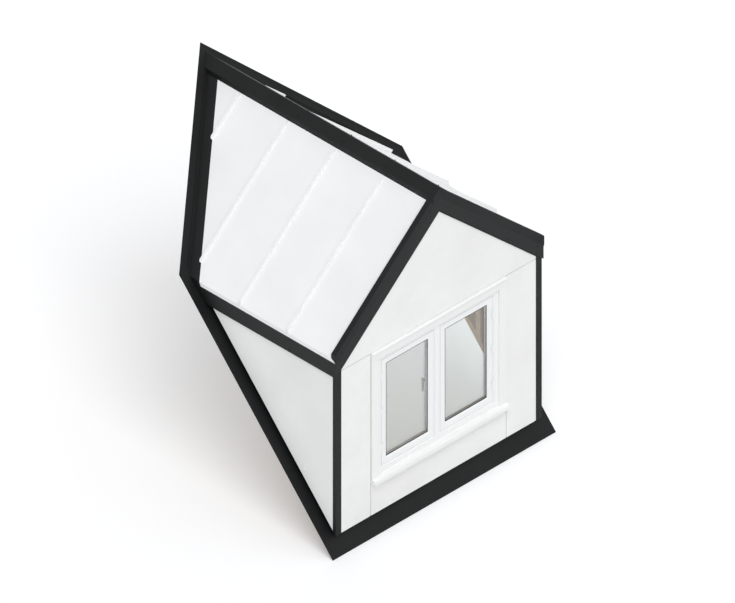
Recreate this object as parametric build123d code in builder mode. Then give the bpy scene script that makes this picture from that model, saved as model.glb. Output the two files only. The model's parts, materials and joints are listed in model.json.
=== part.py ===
from build123d import *
from math import cos, radians, sin, sqrt, tan
import os

# A gable dormer with a casement window, in millimetres: X to the right, Y back into the main roof, Z up.
# It stands on one sloping plane, the deck of the main roof, which passes through the origin. The origin
# is the middle of the front sill plate's underside.

# ---- pitches and overall size
main_pitch = 48.0
dormer_pitch = 42.0
overall_width = 2000.0
corner_height = 1580.0

# ---- timber frame
timber_width = 45.0
timber_depth = 95.0
sill_plate_edge = 22.0
birdsmouth_seat = 60.0
ridge_board_depth = 145.0
valley_board_width = 180.0
valley_board_thickness = 25.0
common_rafter_count = 4
jack_rafter_count = 2
gable_stud_spacing = 400.0
cripple_spacing = 400.0
collar_drop = 190.0
collar_thickness = 30.0
fit_clearance = 6.0

# ---- boards and cladding
sheathing_thickness = 12.0
batten_thickness = 25.0
batten_width = 95.0
panel_thickness = 8.0
panel_joint = 8.0
deck_thickness = 18.0
cladding_lift = 50.0

# ---- roof metal and trims
roof_sheet_thickness = 3.0
drip_depth = 30.0
seam_count = 4
seam_height = 25.0
seam_stem = 4.0
seam_fold_width = 10.0
seam_fold_height = 8.0
trim_board_thickness = 20.0
barge_depth = 115.0
verge_trim_width = 43.0
verge_trim_drop = 35.0
ridge_cap_wing = 95.0
folded_metal = 3.0
corner_trim_front_leg = 55.0
corner_trim_cheek_leg = 28.0
flashing_upstand = 110.0
flashing_flange = 85.0

# ---- window
opening_width = 1200.0
opening_sill_height = 340.0
lintel_depth = 95.0
frame_gap = 5.0
frame_width = 50.0
frame_depth = 70.0
mullion_width = 56.0
stop_width = 12.0
stop_depth = 20.0
sash_rail = 52.0
sash_thickness = 45.0
sash_clearance = 3.0
glass_thickness = 24.0
glass_bite = 12.0
glass_clearance = 0.5
sash_bead = 8.0
frame_chamfer = 5.0
casing_width = 70.0
casing_thickness = 18.0
casing_lap = 10.0
casing_joint = 1.0
window_sill_thickness = 40.0
window_sill_nose = 50.0
window_sill_fall = 8.0
drip_groove = 6.0
handle_plate_width = 28.0
handle_plate_height = 130.0
handle_plate_thickness = 8.0
handle_neck = 32.0
handle_bar = 16.0
handle_reach = 110.0
handle_grip = 12.0

# ---- heights of the two roofs
p = radians(main_pitch)
q = radians(dormer_pitch)
half_width = overall_width / 2
frame_half = timber_depth / 2
sheathing_y = -frame_half - sheathing_thickness
batten_y = sheathing_y - batten_thickness
front_face_y = batten_y - panel_thickness
barge_face_y = batten_y - trim_board_thickness


def seat_z(y, lift=0.0):
    """Height of the plane that lies lift above the main roof, at depth y."""
    return y * tan(p) + lift / cos(p)


def seat_y(z, lift=0.0):
    """Depth at which that plane reaches the height z."""
    return (z - lift / cos(p)) / tan(p)


apex_z = seat_z(front_face_y) + corner_height + half_width * tan(q)


def roof_z(x, depth=0.0):
    """Height of the plane that lies depth under the dormer roof, at distance x from the ridge line."""
    return apex_z - x * tan(q) - depth / cos(q)


def seat(lift=0.0):
    """Plane parallel to the main roof; its X runs across and its Y up the slope."""
    return Plane(origin=(0, 0, 0), x_dir=(1, 0, 0), z_dir=(0, -sin(p), cos(p))).offset(lift)


def slope(side, depth=0.0):
    """Plane parallel to the left (-1) or right (1) roof slope, depth under its surface."""
    return Plane(origin=(0, 0, apex_z), x_dir=(0, 1, 0), z_dir=(side * sin(q), 0, cos(q))).offset(-depth)


def upright(y):
    """Plane across the dormer at depth y, with its X to the right and its Y up; it faces the front."""
    return Plane.XZ.offset(-y)


def cut_to_roof(lift=0.0):
    """Keeps what stands above the main roof."""
    split(bisect_by=seat(lift), keep=Keep.TOP)


def cut_under_slopes(depth):
    """Keeps what lies under both roof slopes."""
    for side in (-1, 1):
        split(bisect_by=slope(side, depth), keep=Keep.BOTTOM)


def bar(x_range, y_range, z_range):
    """A rectangular bar between two x, two y and two z values."""
    width = x_range[1] - x_range[0]
    depth = y_range[1] - y_range[0]
    with BuildSketch(Plane.XY.offset(z_range[0])) as section:
        with Locations((x_range[0] + width / 2, y_range[0] + depth / 2)):
            Rectangle(width, depth)
    extrude(section.sketch, amount=z_range[1] - z_range[0])


def prism(points, y_range):
    """A profile across the dormer, run from front to back."""
    with BuildSketch(upright(y_range[0])) as section:
        with BuildLine():
            Polyline(*points, close=True)
        make_face()
    extrude(section.sketch, amount=y_range[0] - y_range[1])


os.makedirs("parts", exist_ok=True)
finished = []


def finish(builder, name):
    """Labels a finished piece and writes it."""
    builder.part.label = name
    export_step(builder.part, f"parts/{name}.step")
    finished.append(builder.part)


def finish_pair(left, name):
    """Writes the left piece and its mirror image, each as a piece of its own."""
    finish(left, f"{name}_left")
    with BuildPart() as right:
        mirror(left.part, about=Plane.YZ)
    finish(right, f"{name}_right")


def finish_both(left, name):
    """Writes the left piece and its mirror image together, as solids that stand apart."""
    with BuildPart() as both:
        add(left.part)
        mirror(left.part, about=Plane.YZ)
    finish(both, name)


# ---- depths under the roof surface, and the planes of the walls
deck_top = roof_sheet_thickness
deck_bottom = deck_top + deck_thickness
rafter_bottom = deck_bottom + timber_depth
batten_x = half_width - panel_thickness
sheathing_x = batten_x - batten_thickness
stud_x = sheathing_x - sheathing_thickness
inner_x = stud_x - timber_depth
fascia_x = batten_x + trim_board_thickness
eave_x = fascia_x + folded_metal
rear_y = seat_y(apex_z) + flashing_flange

# ---- levels
plate_top = roof_z(stud_x - birdsmouth_seat, rafter_bottom)
plate_bottom = plate_top - timber_width
sill_plate_top = seat_z(frame_half) + sill_plate_edge
opening_sill = seat_z(front_face_y) + opening_sill_height
opening_head = plate_bottom - lintel_depth
ridge_half = timber_width / 2
ridge_top = roof_z(ridge_half, deck_bottom)
ridge_bottom = ridge_top - ridge_board_depth
fascia_bottom = roof_z(fascia_x, deck_top + barge_depth)
panel_top = fascia_bottom - panel_joint
cladding_foot = seat_z(front_face_y, cladding_lift)

# ---- rafter places, from the front face of the frame to the back of the top plate
plate_end_y = seat_y(plate_top, valley_board_thickness) - fit_clearance
first_rafter_y = -frame_half
rafter_step = (plate_end_y - timber_width - first_rafter_y) / (common_rafter_count - 1)
rafter_ys = [first_rafter_y + rafter_step * i for i in range(common_rafter_count)]
ridge_end_y = seat_y(ridge_top, valley_board_thickness)
jack_step = (ridge_end_y - rafter_ys[-1]) / (jack_rafter_count + 1)
jack_ys = [rafter_ys[-1] + jack_step * (i + 1) for i in range(jack_rafter_count)]

# ---- the wall plates, each bevelled where it meets the main roof
with BuildPart() as front_sill_plate:
    bar((-stud_x, stud_x), (-frame_half, frame_half), (seat_z(-frame_half), sill_plate_top))
    cut_to_roof()
finish(front_sill_plate, "front_sill_plate")

with BuildPart() as sole_plate:
    bar((-stud_x, -inner_x), (frame_half, rear_y), (0, plate_bottom))
    cut_to_roof()
    split(bisect_by=seat(timber_width), keep=Keep.BOTTOM)
finish_both(sole_plate, "sole_plates")

with BuildPart() as top_plate:
    bar((-stud_x, -inner_x), (-frame_half, rear_y), (plate_bottom, plate_top))
    cut_to_roof()
finish_both(top_plate, "top_plates")

# ---- the posts and studs of the front wall, round the window opening
opening_half = opening_width / 2
trimmer_x = opening_half + timber_width
king_x = trimmer_x + timber_width
wall_y = (-frame_half, frame_half)

with BuildPart() as corner_post:
    bar((-stud_x, -inner_x), wall_y, (sill_plate_top, plate_bottom))
finish_both(corner_post, "corner_posts")

with BuildPart() as king_stud:
    bar((-king_x, -trimmer_x), wall_y, (sill_plate_top, plate_bottom))
finish_both(king_stud, "king_studs")

with BuildPart() as trimmer_stud:
    bar((-trimmer_x, -opening_half), wall_y, (sill_plate_top, opening_head))
finish_both(trimmer_stud, "trimmer_studs")

with BuildPart() as window_lintel:
    bar((-trimmer_x, trimmer_x), wall_y, (opening_head, plate_bottom))
finish(window_lintel, "window_lintel")

with BuildPart() as front_top_plate:
    bar((-inner_x, inner_x), wall_y, (plate_bottom, plate_top))
finish(front_top_plate, "front_top_plate")

with BuildPart() as rough_sill:
    bar((-opening_half, opening_half), wall_y, (opening_sill - timber_width, opening_sill))
finish(rough_sill, "rough_sill")

with BuildPart() as cripple_studs:
    with BuildSketch(Plane.XY.offset(sill_plate_top)):
        with GridLocations(cripple_spacing, 0, 3, 1):
            Rectangle(timber_width, timber_depth)
    extrude(amount=opening_sill - timber_width - sill_plate_top)
finish(cripple_studs, "cripple_studs")

with BuildPart() as gable_studs:
    bar((-ridge_half, ridge_half), wall_y, (plate_top, ridge_bottom))
    with BuildSketch(Plane.XY.offset(plate_top)):
        with GridLocations(2 * gable_stud_spacing, 0, 2, 1):
            Rectangle(timber_width, timber_depth)
    extrude(amount=apex_z - plate_top)
    cut_under_slopes(rafter_bottom)
finish(gable_studs, "gable_studs")

# ---- cheek studs stand under the inner rafters, bevelled to the sole plate
with BuildPart() as cheek_studs:
    for y in rafter_ys[1:-1]:
        bar((-stud_x, -inner_x), (y, y + timber_width), (0, plate_bottom))
    cut_to_roof(timber_width)
finish_both(cheek_studs, "cheek_studs")

# ---- blind-valley roof framing: rafters, jacks cut on to the valley boards, and the ridge board
valley_run = tan(q) / sin(p)
valley_stretch = sqrt(1 + valley_run**2)


def valley_s(x, depth):
    """Distance up the main roof at which a plane depth under the dormer roof meets it."""
    return roof_z(x, depth) / sin(p)


with BuildPart() as ridge_board:
    bar((-ridge_half, ridge_half), (-frame_half, rear_y), (ridge_bottom, ridge_top))
    cut_to_roof(valley_board_thickness)
finish(ridge_board, "ridge_board")

rafter_outline = [
    (-ridge_half, roof_z(ridge_half, deck_bottom)),
    (-stud_x, roof_z(stud_x, deck_bottom)),
    (-stud_x, plate_top),
    (-stud_x + birdsmouth_seat, plate_top),
    (-ridge_half, roof_z(ridge_half, rafter_bottom)),
]
with BuildPart() as common_rafters:
    for y in rafter_ys:
        prism(rafter_outline, (y, y + timber_width))
finish_both(common_rafters, "common_rafters")

jack_outline = [
    (-ridge_half, roof_z(ridge_half, deck_bottom)),
    (-stud_x, roof_z(stud_x, deck_bottom)),
    (-stud_x, roof_z(stud_x, rafter_bottom)),
    (-ridge_half, roof_z(ridge_half, rafter_bottom)),
]
with BuildPart() as jack_rafters:
    for y in jack_ys:
        prism(jack_outline, (y, y + timber_width))
    cut_to_roof(valley_board_thickness)
finish_both(jack_rafters, "jack_rafters")

with BuildPart() as valley_board:
    with BuildSketch(seat()):
        with BuildLine():
            Polyline(
                (-stud_x, valley_s(stud_x, deck_bottom)),
                (0, valley_s(0, deck_bottom)),
                (0, valley_s(0, deck_bottom) - valley_board_width * valley_stretch),
                (-stud_x, valley_s(stud_x, deck_bottom) - valley_board_width * valley_stretch),
                close=True,
            )
        make_face()
    extrude(amount=valley_board_thickness)
    split(bisect_by=slope(-1, deck_bottom), keep=Keep.BOTTOM)
    split(bisect_by=Plane.XY.offset(plate_top), keep=Keep.TOP)
finish_pair(valley_board, "valley_board")

with BuildPart() as collar_ties:
    collar_top = ridge_bottom - collar_drop
    for y in rafter_ys[1:]:
        tie_ys = (y + timber_width, y + timber_width + collar_thickness)
        bar((-half_width, half_width), tie_ys, (collar_top - timber_depth, collar_top))
    cut_under_slopes(deck_bottom + fit_clearance)
finish(collar_ties, "collar_ties")

# ---- sheathing boards and the roof deck
with BuildPart() as front_sheathing:
    sheathing_ys = (sheathing_y, -frame_half)
    bar((-sheathing_x, sheathing_x), sheathing_ys, (seat_z(sheathing_y), apex_z))
    with BuildSketch(upright(sheathing_y)):
        with Locations((0, (opening_sill + opening_head) / 2)):
            Rectangle(opening_width, opening_head - opening_sill)
    extrude(amount=-sheathing_thickness, mode=Mode.SUBTRACT)
    cut_to_roof()
    cut_under_slopes(deck_bottom)
finish(front_sheathing, "front_sheathing")

with BuildPart() as cheek_sheathing:
    bar((-sheathing_x, -stud_x), (-frame_half, rear_y), (seat_z(-frame_half), apex_z))
    cut_to_roof()
    split(bisect_by=slope(-1, deck_bottom), keep=Keep.BOTTOM)
finish_both(cheek_sheathing, "cheek_sheathing")

with BuildPart() as roof_deck:
    deck_outline = [
        (0, roof_z(0, deck_top)),
        (-batten_x, roof_z(batten_x, deck_top)),
        (-batten_x, roof_z(batten_x, deck_bottom)),
        (0, roof_z(0, deck_bottom)),
    ]
    prism(deck_outline, (batten_y, rear_y))
    cut_to_roof(folded_metal)
finish_pair(roof_deck, "roof_deck")

# ---- dark flashings round the foot, on the main roof and up behind the cladding
flange_x = half_width + flashing_flange
foot_s = front_face_y / cos(p)
flashing_y = sheathing_y - folded_metal
flashing_x = sheathing_x + folded_metal
side_end_s = valley_s(eave_x, deck_top)

with BuildPart() as apron_flashing:
    with BuildSketch(seat()):
        flange_length = (sheathing_y + folded_metal) / cos(p) - foot_s + flashing_flange
        with Locations((0, foot_s - flashing_flange + flange_length / 2)):
            Rectangle(2 * flange_x, flange_length)
    extrude(amount=folded_metal)
    upstand_top = seat_z(flashing_y) + flashing_upstand
    bar((-flashing_x, flashing_x), (flashing_y, sheathing_y), (seat_z(flashing_y), upstand_top))
    cut_to_roof()
    split(bisect_by=upright(sheathing_y), keep=Keep.TOP)
finish(apron_flashing, "apron_flashing")

with BuildPart() as side_flashing:
    with BuildSketch(seat()):
        side_length = side_end_s - flashing_y / cos(p)
        with Locations((-(flashing_x + sheathing_x) / 2, side_end_s - side_length / 2)):
            Rectangle(folded_metal, side_length)
    extrude(amount=flashing_upstand)
    split(bisect_by=slope(-1, deck_bottom), keep=Keep.BOTTOM)
    with BuildSketch(seat()):
        with Locations((-(flange_x + sheathing_x) / 2, side_end_s - side_length / 2)):
            Rectangle(flange_x - sheathing_x, side_length)
    extrude(amount=folded_metal)
    split(bisect_by=upright(sheathing_y), keep=Keep.BOTTOM)
finish_both(side_flashing, "side_flashings")

# ---- the valley line, and the plane that parts roof sheet and valley flashing
valley_foot = Vector(-eave_x, seat_y(roof_z(eave_x)), roof_z(eave_x))
valley_head = Vector(0, seat_y(apex_z), apex_z)
valley_direction = (valley_head - valley_foot).normalized()
valley_inward = valley_direction.cross(Vector(-sin(q), 0, cos(q)))
valley_edge = Plane(
    origin=valley_foot + valley_inward * flashing_flange,
    x_dir=valley_direction,
    z_dir=valley_inward,
)

with BuildPart() as valley_flashing:
    wing_outline = [
        (0, roof_z(0)),
        (-fascia_x, roof_z(fascia_x)),
        (-fascia_x, roof_z(fascia_x, deck_top)),
        (0, roof_z(0, deck_top)),
    ]
    prism(wing_outline, (barge_face_y, rear_y))
    split(bisect_by=valley_edge, keep=Keep.BOTTOM)
    cut_to_roof()
    with BuildSketch(seat()):
        with BuildLine():
            Polyline(
                (-eave_x, side_end_s),
                (-flange_x, side_end_s),
                (-flange_x, valley_s(flange_x, deck_top) + flashing_flange * valley_stretch),
                (0, valley_s(0, deck_top) + flashing_flange * valley_stretch),
                (0, valley_s(0, deck_top)),
                close=True,
            )
        make_face()
    extrude(amount=folded_metal)
finish_pair(valley_flashing, "valley_flashing")

# ---- cladding battens, rebated over the flashing upstands
with BuildPart() as front_battens:
    batten_ys = (batten_y, sheathing_y)
    head_z = (opening_head, opening_head + batten_width)
    for side in (-1, 1):
        for inner in (opening_half, batten_x - batten_width):
            x_range = sorted((side * inner, side * (inner + batten_width)))
            bar(x_range, batten_ys, (cladding_foot, apex_z))
    bar((-batten_width / 2, batten_width / 2), batten_ys, (cladding_foot, opening_sill))
    bar((-batten_width / 2, batten_width / 2), batten_ys, (opening_head, apex_z))
    bar((-batten_x, batten_x), batten_ys, head_z)
    bar((-batten_x, batten_x), batten_ys, (opening_sill - batten_width, opening_sill))
    cut_under_slopes(deck_bottom)
    add(apron_flashing.part, mode=Mode.SUBTRACT)
finish(front_battens, "front_battens")

with BuildPart() as cheek_battens:
    batten_xs = (-batten_x, -sheathing_x)
    for y in [sheathing_y] + rafter_ys[1:-1]:
        bar(batten_xs, (y, y + batten_width), (seat_z(sheathing_y), apex_z))
    bar(batten_xs, (sheathing_y, rear_y), (panel_top - batten_width, apex_z))
    with BuildSketch(seat(cladding_lift)):
        foot_batten_s = (sheathing_y / cos(p), valley_s(batten_x, deck_bottom))
        foot_batten_length = foot_batten_s[1] - foot_batten_s[0]
        with Locations((-(batten_x + sheathing_x) / 2, sum(foot_batten_s) / 2)):
            Rectangle(batten_thickness, foot_batten_length)
    extrude(amount=batten_width)
    split(bisect_by=upright(sheathing_y), keep=Keep.BOTTOM)
    cut_to_roof(cladding_lift)
    split(bisect_by=slope(-1, deck_bottom), keep=Keep.BOTTOM)
    add(side_flashing.part, mode=Mode.SUBTRACT)
finish_both(cheek_battens, "cheek_battens")

# ---- white cladding panels
with BuildPart() as cheek_panel:
    bar((-half_width, -batten_x), (batten_y, rear_y), (seat_z(batten_y), panel_top))
    cut_to_roof(cladding_lift)
finish_pair(cheek_panel, "cheek_panel")

frame_x = opening_half - frame_gap
frame_top = opening_head - frame_gap
casing_inner_x = frame_x - casing_lap
casing_x = casing_inner_x + casing_width
casing_bottom = opening_sill
casing_top = frame_top - casing_lap + casing_width
panel_ys = (front_face_y, batten_y)
panel_roof_depth = deck_top + barge_depth + panel_joint

with BuildPart() as front_panel:
    bar((-half_width, -casing_x - panel_joint), panel_ys, (cladding_foot, casing_top))
    split(bisect_by=slope(-1, panel_roof_depth), keep=Keep.BOTTOM)
finish_both(front_panel, "front_panels")

with BuildPart() as lower_panel:
    bar((-casing_x, casing_x), panel_ys, (cladding_foot, opening_sill - panel_joint))
finish(lower_panel, "lower_panel")

with BuildPart() as gable_panel:
    bar((-half_width, half_width), panel_ys, (casing_top + panel_joint, apex_z))
    cut_under_slopes(panel_roof_depth)
finish(gable_panel, "gable_panel")

# ---- standing-seam roof sheets, with seams and trims cut plumb at the eaves
trim_height = seam_height + folded_metal
run_off_x = eave_x + trim_height
run_off_length = run_off_x / cos(q)


def up_slope(y):
    """Plane just past the left eave, facing up the slope; its X runs back and its Y points off the roof."""
    return Plane(origin=(-run_off_x, y, roof_z(run_off_x)), x_dir=(0, 1, 0), z_dir=(cos(q), 0, sin(q)))


def cut_at_eave():
    """Keeps what lies inside the left eave."""
    split(bisect_by=Plane.YZ.offset(-eave_x), keep=Keep.TOP)


seam_step = (rear_y - barge_face_y) / (seam_count + 1)
with BuildPart() as roof_sheet:
    sheet_outline = [
        (0, roof_z(0)),
        (-eave_x, roof_z(eave_x)),
        (-eave_x, roof_z(eave_x) - drip_depth),
        (-fascia_x, roof_z(eave_x) - drip_depth),
        (-fascia_x, roof_z(fascia_x, deck_top)),
        (0, roof_z(0, deck_top)),
    ]
    prism(sheet_outline, (barge_face_y, rear_y))
    for i in range(seam_count):
        with BuildSketch(up_slope(barge_face_y + seam_step * (i + 1))):
            with Locations((0, seam_height / 2)):
                Rectangle(seam_stem, seam_height)
            with Locations(((seam_fold_width - seam_stem) / 2, seam_height - seam_fold_height / 2)):
                Rectangle(seam_fold_width, seam_fold_height)
        extrude(amount=run_off_length - ridge_cap_wing - fit_clearance)
    cut_at_eave()
    split(bisect_by=valley_edge, keep=Keep.TOP)
finish_pair(roof_sheet, "roof_sheet")

# ---- dark trims: barge boards, fascias, verge trims, ridge cap and corner trims
with BuildPart() as barge_board:
    barge_outline = [
        (0, roof_z(0, deck_top)),
        (-fascia_x, roof_z(fascia_x, deck_top)),
        (-fascia_x, roof_z(fascia_x, deck_top + barge_depth)),
        (0, roof_z(0, deck_top + barge_depth)),
    ]
    prism(barge_outline, (barge_face_y, batten_y))
finish_pair(barge_board, "barge_board")

with BuildPart() as fascia:
    fascia_outline = [
        (-batten_x, roof_z(batten_x, deck_top)),
        (-fascia_x, roof_z(fascia_x, deck_top)),
        (-fascia_x, fascia_bottom),
        (-batten_x, fascia_bottom),
    ]
    prism(fascia_outline, (batten_y, rear_y))
    cut_to_roof(folded_metal)
finish_both(fascia, "fascia_boards")

with BuildPart() as verge_trim:
    with BuildSketch(up_slope(barge_face_y - folded_metal)):
        with BuildLine():
            Polyline(
                (0, -verge_trim_drop),
                (0, trim_height),
                (verge_trim_width, trim_height),
                (verge_trim_width, 0),
                (verge_trim_width - folded_metal, 0),
                (verge_trim_width - folded_metal, seam_height),
                (folded_metal, seam_height),
                (folded_metal, -verge_trim_drop),
                close=True,
            )
        make_face()
    extrude(amount=run_off_length + trim_height)
    cut_at_eave()
    split(bisect_by=Plane.YZ, keep=Keep.BOTTOM)
    mirror(about=Plane.YZ)
finish(verge_trim, "verge_trim")

cap_x = ridge_cap_wing * cos(q)
cap_inner_x = cap_x - folded_metal
cap_rise = trim_height + folded_metal
cap_front_y = barge_face_y - 2 * folded_metal
cap_legs_y = barge_face_y - folded_metal + verge_trim_width


def over_ridge(lift):
    """Three points from the cap's left edge over the ridge to its right edge, lift above the roof."""
    return [(x, roof_z(abs(x), -lift)) for x in (-cap_x, 0, cap_x)]


with BuildPart() as ridge_cap:
    prism(over_ridge(cap_rise) + over_ridge(trim_height)[::-1], (cap_front_y, rear_y))
    prism(over_ridge(cap_rise) + over_ridge(0)[::-1], (cap_front_y, cap_front_y + folded_metal))
    for side in (-1, 1):
        leg_outline = [
            (side * cap_x, roof_z(cap_x)),
            (side * cap_x, roof_z(cap_x, -cap_rise)),
            (side * cap_inner_x, roof_z(cap_inner_x, -cap_rise)),
            (side * cap_inner_x, roof_z(cap_inner_x)),
        ]
        prism(leg_outline, (cap_legs_y, rear_y))
    cut_to_roof(folded_metal)
finish(ridge_cap, "ridge_cap")

with BuildPart() as corner_trim:
    with BuildSketch(Plane.XY.offset(cladding_foot)):
        with BuildLine():
            outer_x = half_width + folded_metal
            outer_y = front_face_y - folded_metal
            Polyline(
                (-outer_x, outer_y),
                (-outer_x + corner_trim_front_leg, outer_y),
                (-outer_x + corner_trim_front_leg, front_face_y),
                (-half_width, front_face_y),
                (-half_width, outer_y + corner_trim_cheek_leg),
                (-outer_x, outer_y + corner_trim_cheek_leg),
                close=True,
            )
        make_face()
    extrude(amount=apex_z - cladding_foot)
    split(bisect_by=slope(-1, deck_top + barge_depth), keep=Keep.BOTTOM)
    add(fascia.part, mode=Mode.SUBTRACT)
    cut_to_roof(cladding_lift)
finish_both(corner_trim, "corner_trims")

# ---- window: sill, frame, casing, two sashes with their glass, and the handles
frame_bottom = opening_sill + window_sill_thickness
frame_back_y = batten_y + frame_depth
fall = window_sill_nose * tan(radians(window_sill_fall))
nose_y = batten_y - window_sill_nose

with BuildPart() as window_sill:
    with BuildSketch(Plane.YZ.offset(-frame_x)):
        with Locations((batten_y + frame_depth / 2, opening_sill + window_sill_thickness / 2)):
            Rectangle(frame_depth, window_sill_thickness)
    extrude(amount=2 * frame_x)
    with BuildSketch(Plane.YZ.offset(-casing_x)):
        with BuildLine():
            Polyline(
                (batten_y, opening_sill),
                (batten_y, frame_bottom),
                (nose_y, frame_bottom - fall),
                (nose_y, opening_sill),
                close=True,
            )
        make_face()
        with Locations((nose_y + 2 * drip_groove, opening_sill + drip_groove / 2)):
            Rectangle(drip_groove, drip_groove, mode=Mode.SUBTRACT)
    extrude(amount=2 * casing_x)
finish(window_sill, "window_sill")

frame_height = frame_top - frame_bottom
frame_middle = (frame_top + frame_bottom) / 2
light_width = frame_x - frame_width - mullion_width / 2
light_height = frame_height - 2 * frame_width
light_x = (mullion_width + light_width) / 2

with BuildPart() as window_frame:
    with BuildSketch(upright(batten_y)):
        with Locations((0, frame_middle)):
            Rectangle(2 * frame_x, frame_height)
        with Locations((-light_x, frame_middle), (light_x, frame_middle)):
            Rectangle(light_width, light_height, mode=Mode.SUBTRACT)
    extrude(amount=-frame_depth)
    frame_face = window_frame.faces().sort_by(Axis.Y)[0]
    chamfer([edge for wire in frame_face.inner_wires() for edge in wire.edges()], length=frame_chamfer)
    with BuildSketch(upright(frame_back_y)):
        with Locations((-light_x, frame_middle), (light_x, frame_middle)):
            Rectangle(light_width, light_height)
            Rectangle(light_width - 2 * stop_width, light_height - 2 * stop_width, mode=Mode.SUBTRACT)
    extrude(amount=stop_depth)
finish(window_frame, "window_frame")

with BuildPart() as window_casing:
    with BuildSketch(upright(batten_y)):
        with Locations((0, (casing_bottom + casing_top) / 2)):
            Rectangle(2 * casing_x, casing_top - casing_bottom)
        with Locations((0, (casing_bottom + casing_top - casing_width) / 2)):
            Rectangle(2 * casing_inner_x, casing_top - casing_width - casing_bottom, mode=Mode.SUBTRACT)
        with Locations((0, casing_top - casing_width - casing_joint / 2)):
            Rectangle(2 * casing_x, casing_joint, mode=Mode.SUBTRACT)
    extrude(amount=casing_thickness)
    add(window_sill.part, mode=Mode.SUBTRACT)
finish(window_casing, "window_casing")

sash_width = light_width - 2 * sash_clearance
sash_height = light_height - 2 * sash_clearance
sash_back_y = frame_back_y - stop_depth
sash_opening = (sash_width - 2 * sash_rail, sash_height - 2 * sash_rail)
groove_thickness = glass_thickness + 2 * glass_clearance
groove_back_y = sash_back_y - (sash_thickness - groove_thickness) / 2
glass_size = [length + 2 * glass_bite for length in sash_opening]
groove_size = [length + 2 * glass_clearance for length in glass_size]

with BuildPart() as window_sash:
    with BuildSketch(upright(sash_back_y)):
        with Locations((-light_x, frame_middle)):
            Rectangle(sash_width, sash_height)
            Rectangle(*sash_opening, mode=Mode.SUBTRACT)
    extrude(amount=sash_thickness)
    for face in (window_sash.faces().sort_by(Axis.Y)[0], window_sash.faces().sort_by(Axis.Y)[-1]):
        chamfer(face.inner_wires()[0].edges(), length=sash_bead)
    with BuildSketch(upright(groove_back_y)):
        with Locations((-light_x, frame_middle)):
            Rectangle(*groove_size)
    extrude(amount=groove_thickness, mode=Mode.SUBTRACT)
finish_pair(window_sash, "window_sash")

with BuildPart() as window_glass:
    with BuildSketch(upright(groove_back_y - glass_clearance)):
        with Locations((-light_x, frame_middle)):
            Rectangle(*glass_size)
    extrude(amount=glass_thickness)
finish_both(window_glass, "window_glass")

with BuildPart() as window_handles:
    handle_x = mullion_width / 2 + sash_clearance + sash_rail / 2
    with BuildSketch(upright(sash_back_y)):
        with Locations((-handle_x, frame_middle), (handle_x, frame_middle)):
            SlotOverall(handle_plate_height, handle_plate_width, rotation=90)
    extrude(amount=-handle_plate_thickness)
    with BuildSketch(upright(sash_back_y + handle_plate_thickness)):
        with Locations((-handle_x, frame_middle), (handle_x, frame_middle)):
            Circle(handle_bar / 2)
    extrude(amount=-handle_neck)
    with BuildSketch(upright(sash_back_y + handle_plate_thickness + handle_neck)):
        with Locations((-handle_x, frame_middle), (handle_x, frame_middle)):
            with Locations((0, (handle_bar - handle_reach) / 2)):
                SlotOverall(handle_reach, handle_bar, rotation=90)
    extrude(amount=-handle_grip)
finish(window_handles, "window_handles")

print(len(finished), "pieces")
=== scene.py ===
import bpy
import bmesh
import json
from math import atan2, cos, pi, radians, sin, sqrt, tan
from mathutils import Matrix, Vector


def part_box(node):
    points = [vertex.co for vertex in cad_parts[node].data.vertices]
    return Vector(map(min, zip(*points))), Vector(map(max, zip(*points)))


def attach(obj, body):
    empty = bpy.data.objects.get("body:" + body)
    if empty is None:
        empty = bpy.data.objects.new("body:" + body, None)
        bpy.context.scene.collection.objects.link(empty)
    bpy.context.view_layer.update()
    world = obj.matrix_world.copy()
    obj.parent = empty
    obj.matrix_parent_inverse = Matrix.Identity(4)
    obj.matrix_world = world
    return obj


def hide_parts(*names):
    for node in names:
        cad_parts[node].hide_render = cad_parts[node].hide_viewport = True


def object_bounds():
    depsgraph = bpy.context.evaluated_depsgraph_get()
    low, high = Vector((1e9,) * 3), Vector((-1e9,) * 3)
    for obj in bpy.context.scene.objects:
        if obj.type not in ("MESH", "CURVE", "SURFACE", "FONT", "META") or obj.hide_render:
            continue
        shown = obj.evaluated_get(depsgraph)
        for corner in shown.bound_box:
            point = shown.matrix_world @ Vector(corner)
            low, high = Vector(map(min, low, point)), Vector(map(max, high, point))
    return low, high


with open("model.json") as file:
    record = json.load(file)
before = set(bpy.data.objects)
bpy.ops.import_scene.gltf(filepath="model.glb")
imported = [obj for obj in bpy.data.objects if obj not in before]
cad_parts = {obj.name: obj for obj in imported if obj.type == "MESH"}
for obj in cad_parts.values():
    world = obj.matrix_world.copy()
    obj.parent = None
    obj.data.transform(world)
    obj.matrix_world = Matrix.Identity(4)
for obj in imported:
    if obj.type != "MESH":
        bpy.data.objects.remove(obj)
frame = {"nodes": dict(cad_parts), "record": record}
cad_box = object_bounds()
nodes = frame["nodes"]

# ---- what the frame says: the two roof planes, the walls and the edges of the dormer, in metres

MM = 0.001
X, Y, Z = Vector((1, 0, 0)), Vector((0, 1, 0)), Vector((0, 0, 1))


def slope_normal(node):
    """Normal of a node's largest face that looks upwards."""
    faces = [face for face in nodes[node].data.polygons if face.normal.z > 0.1]
    return max(faces, key=lambda face: face.area).normal.copy()


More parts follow.
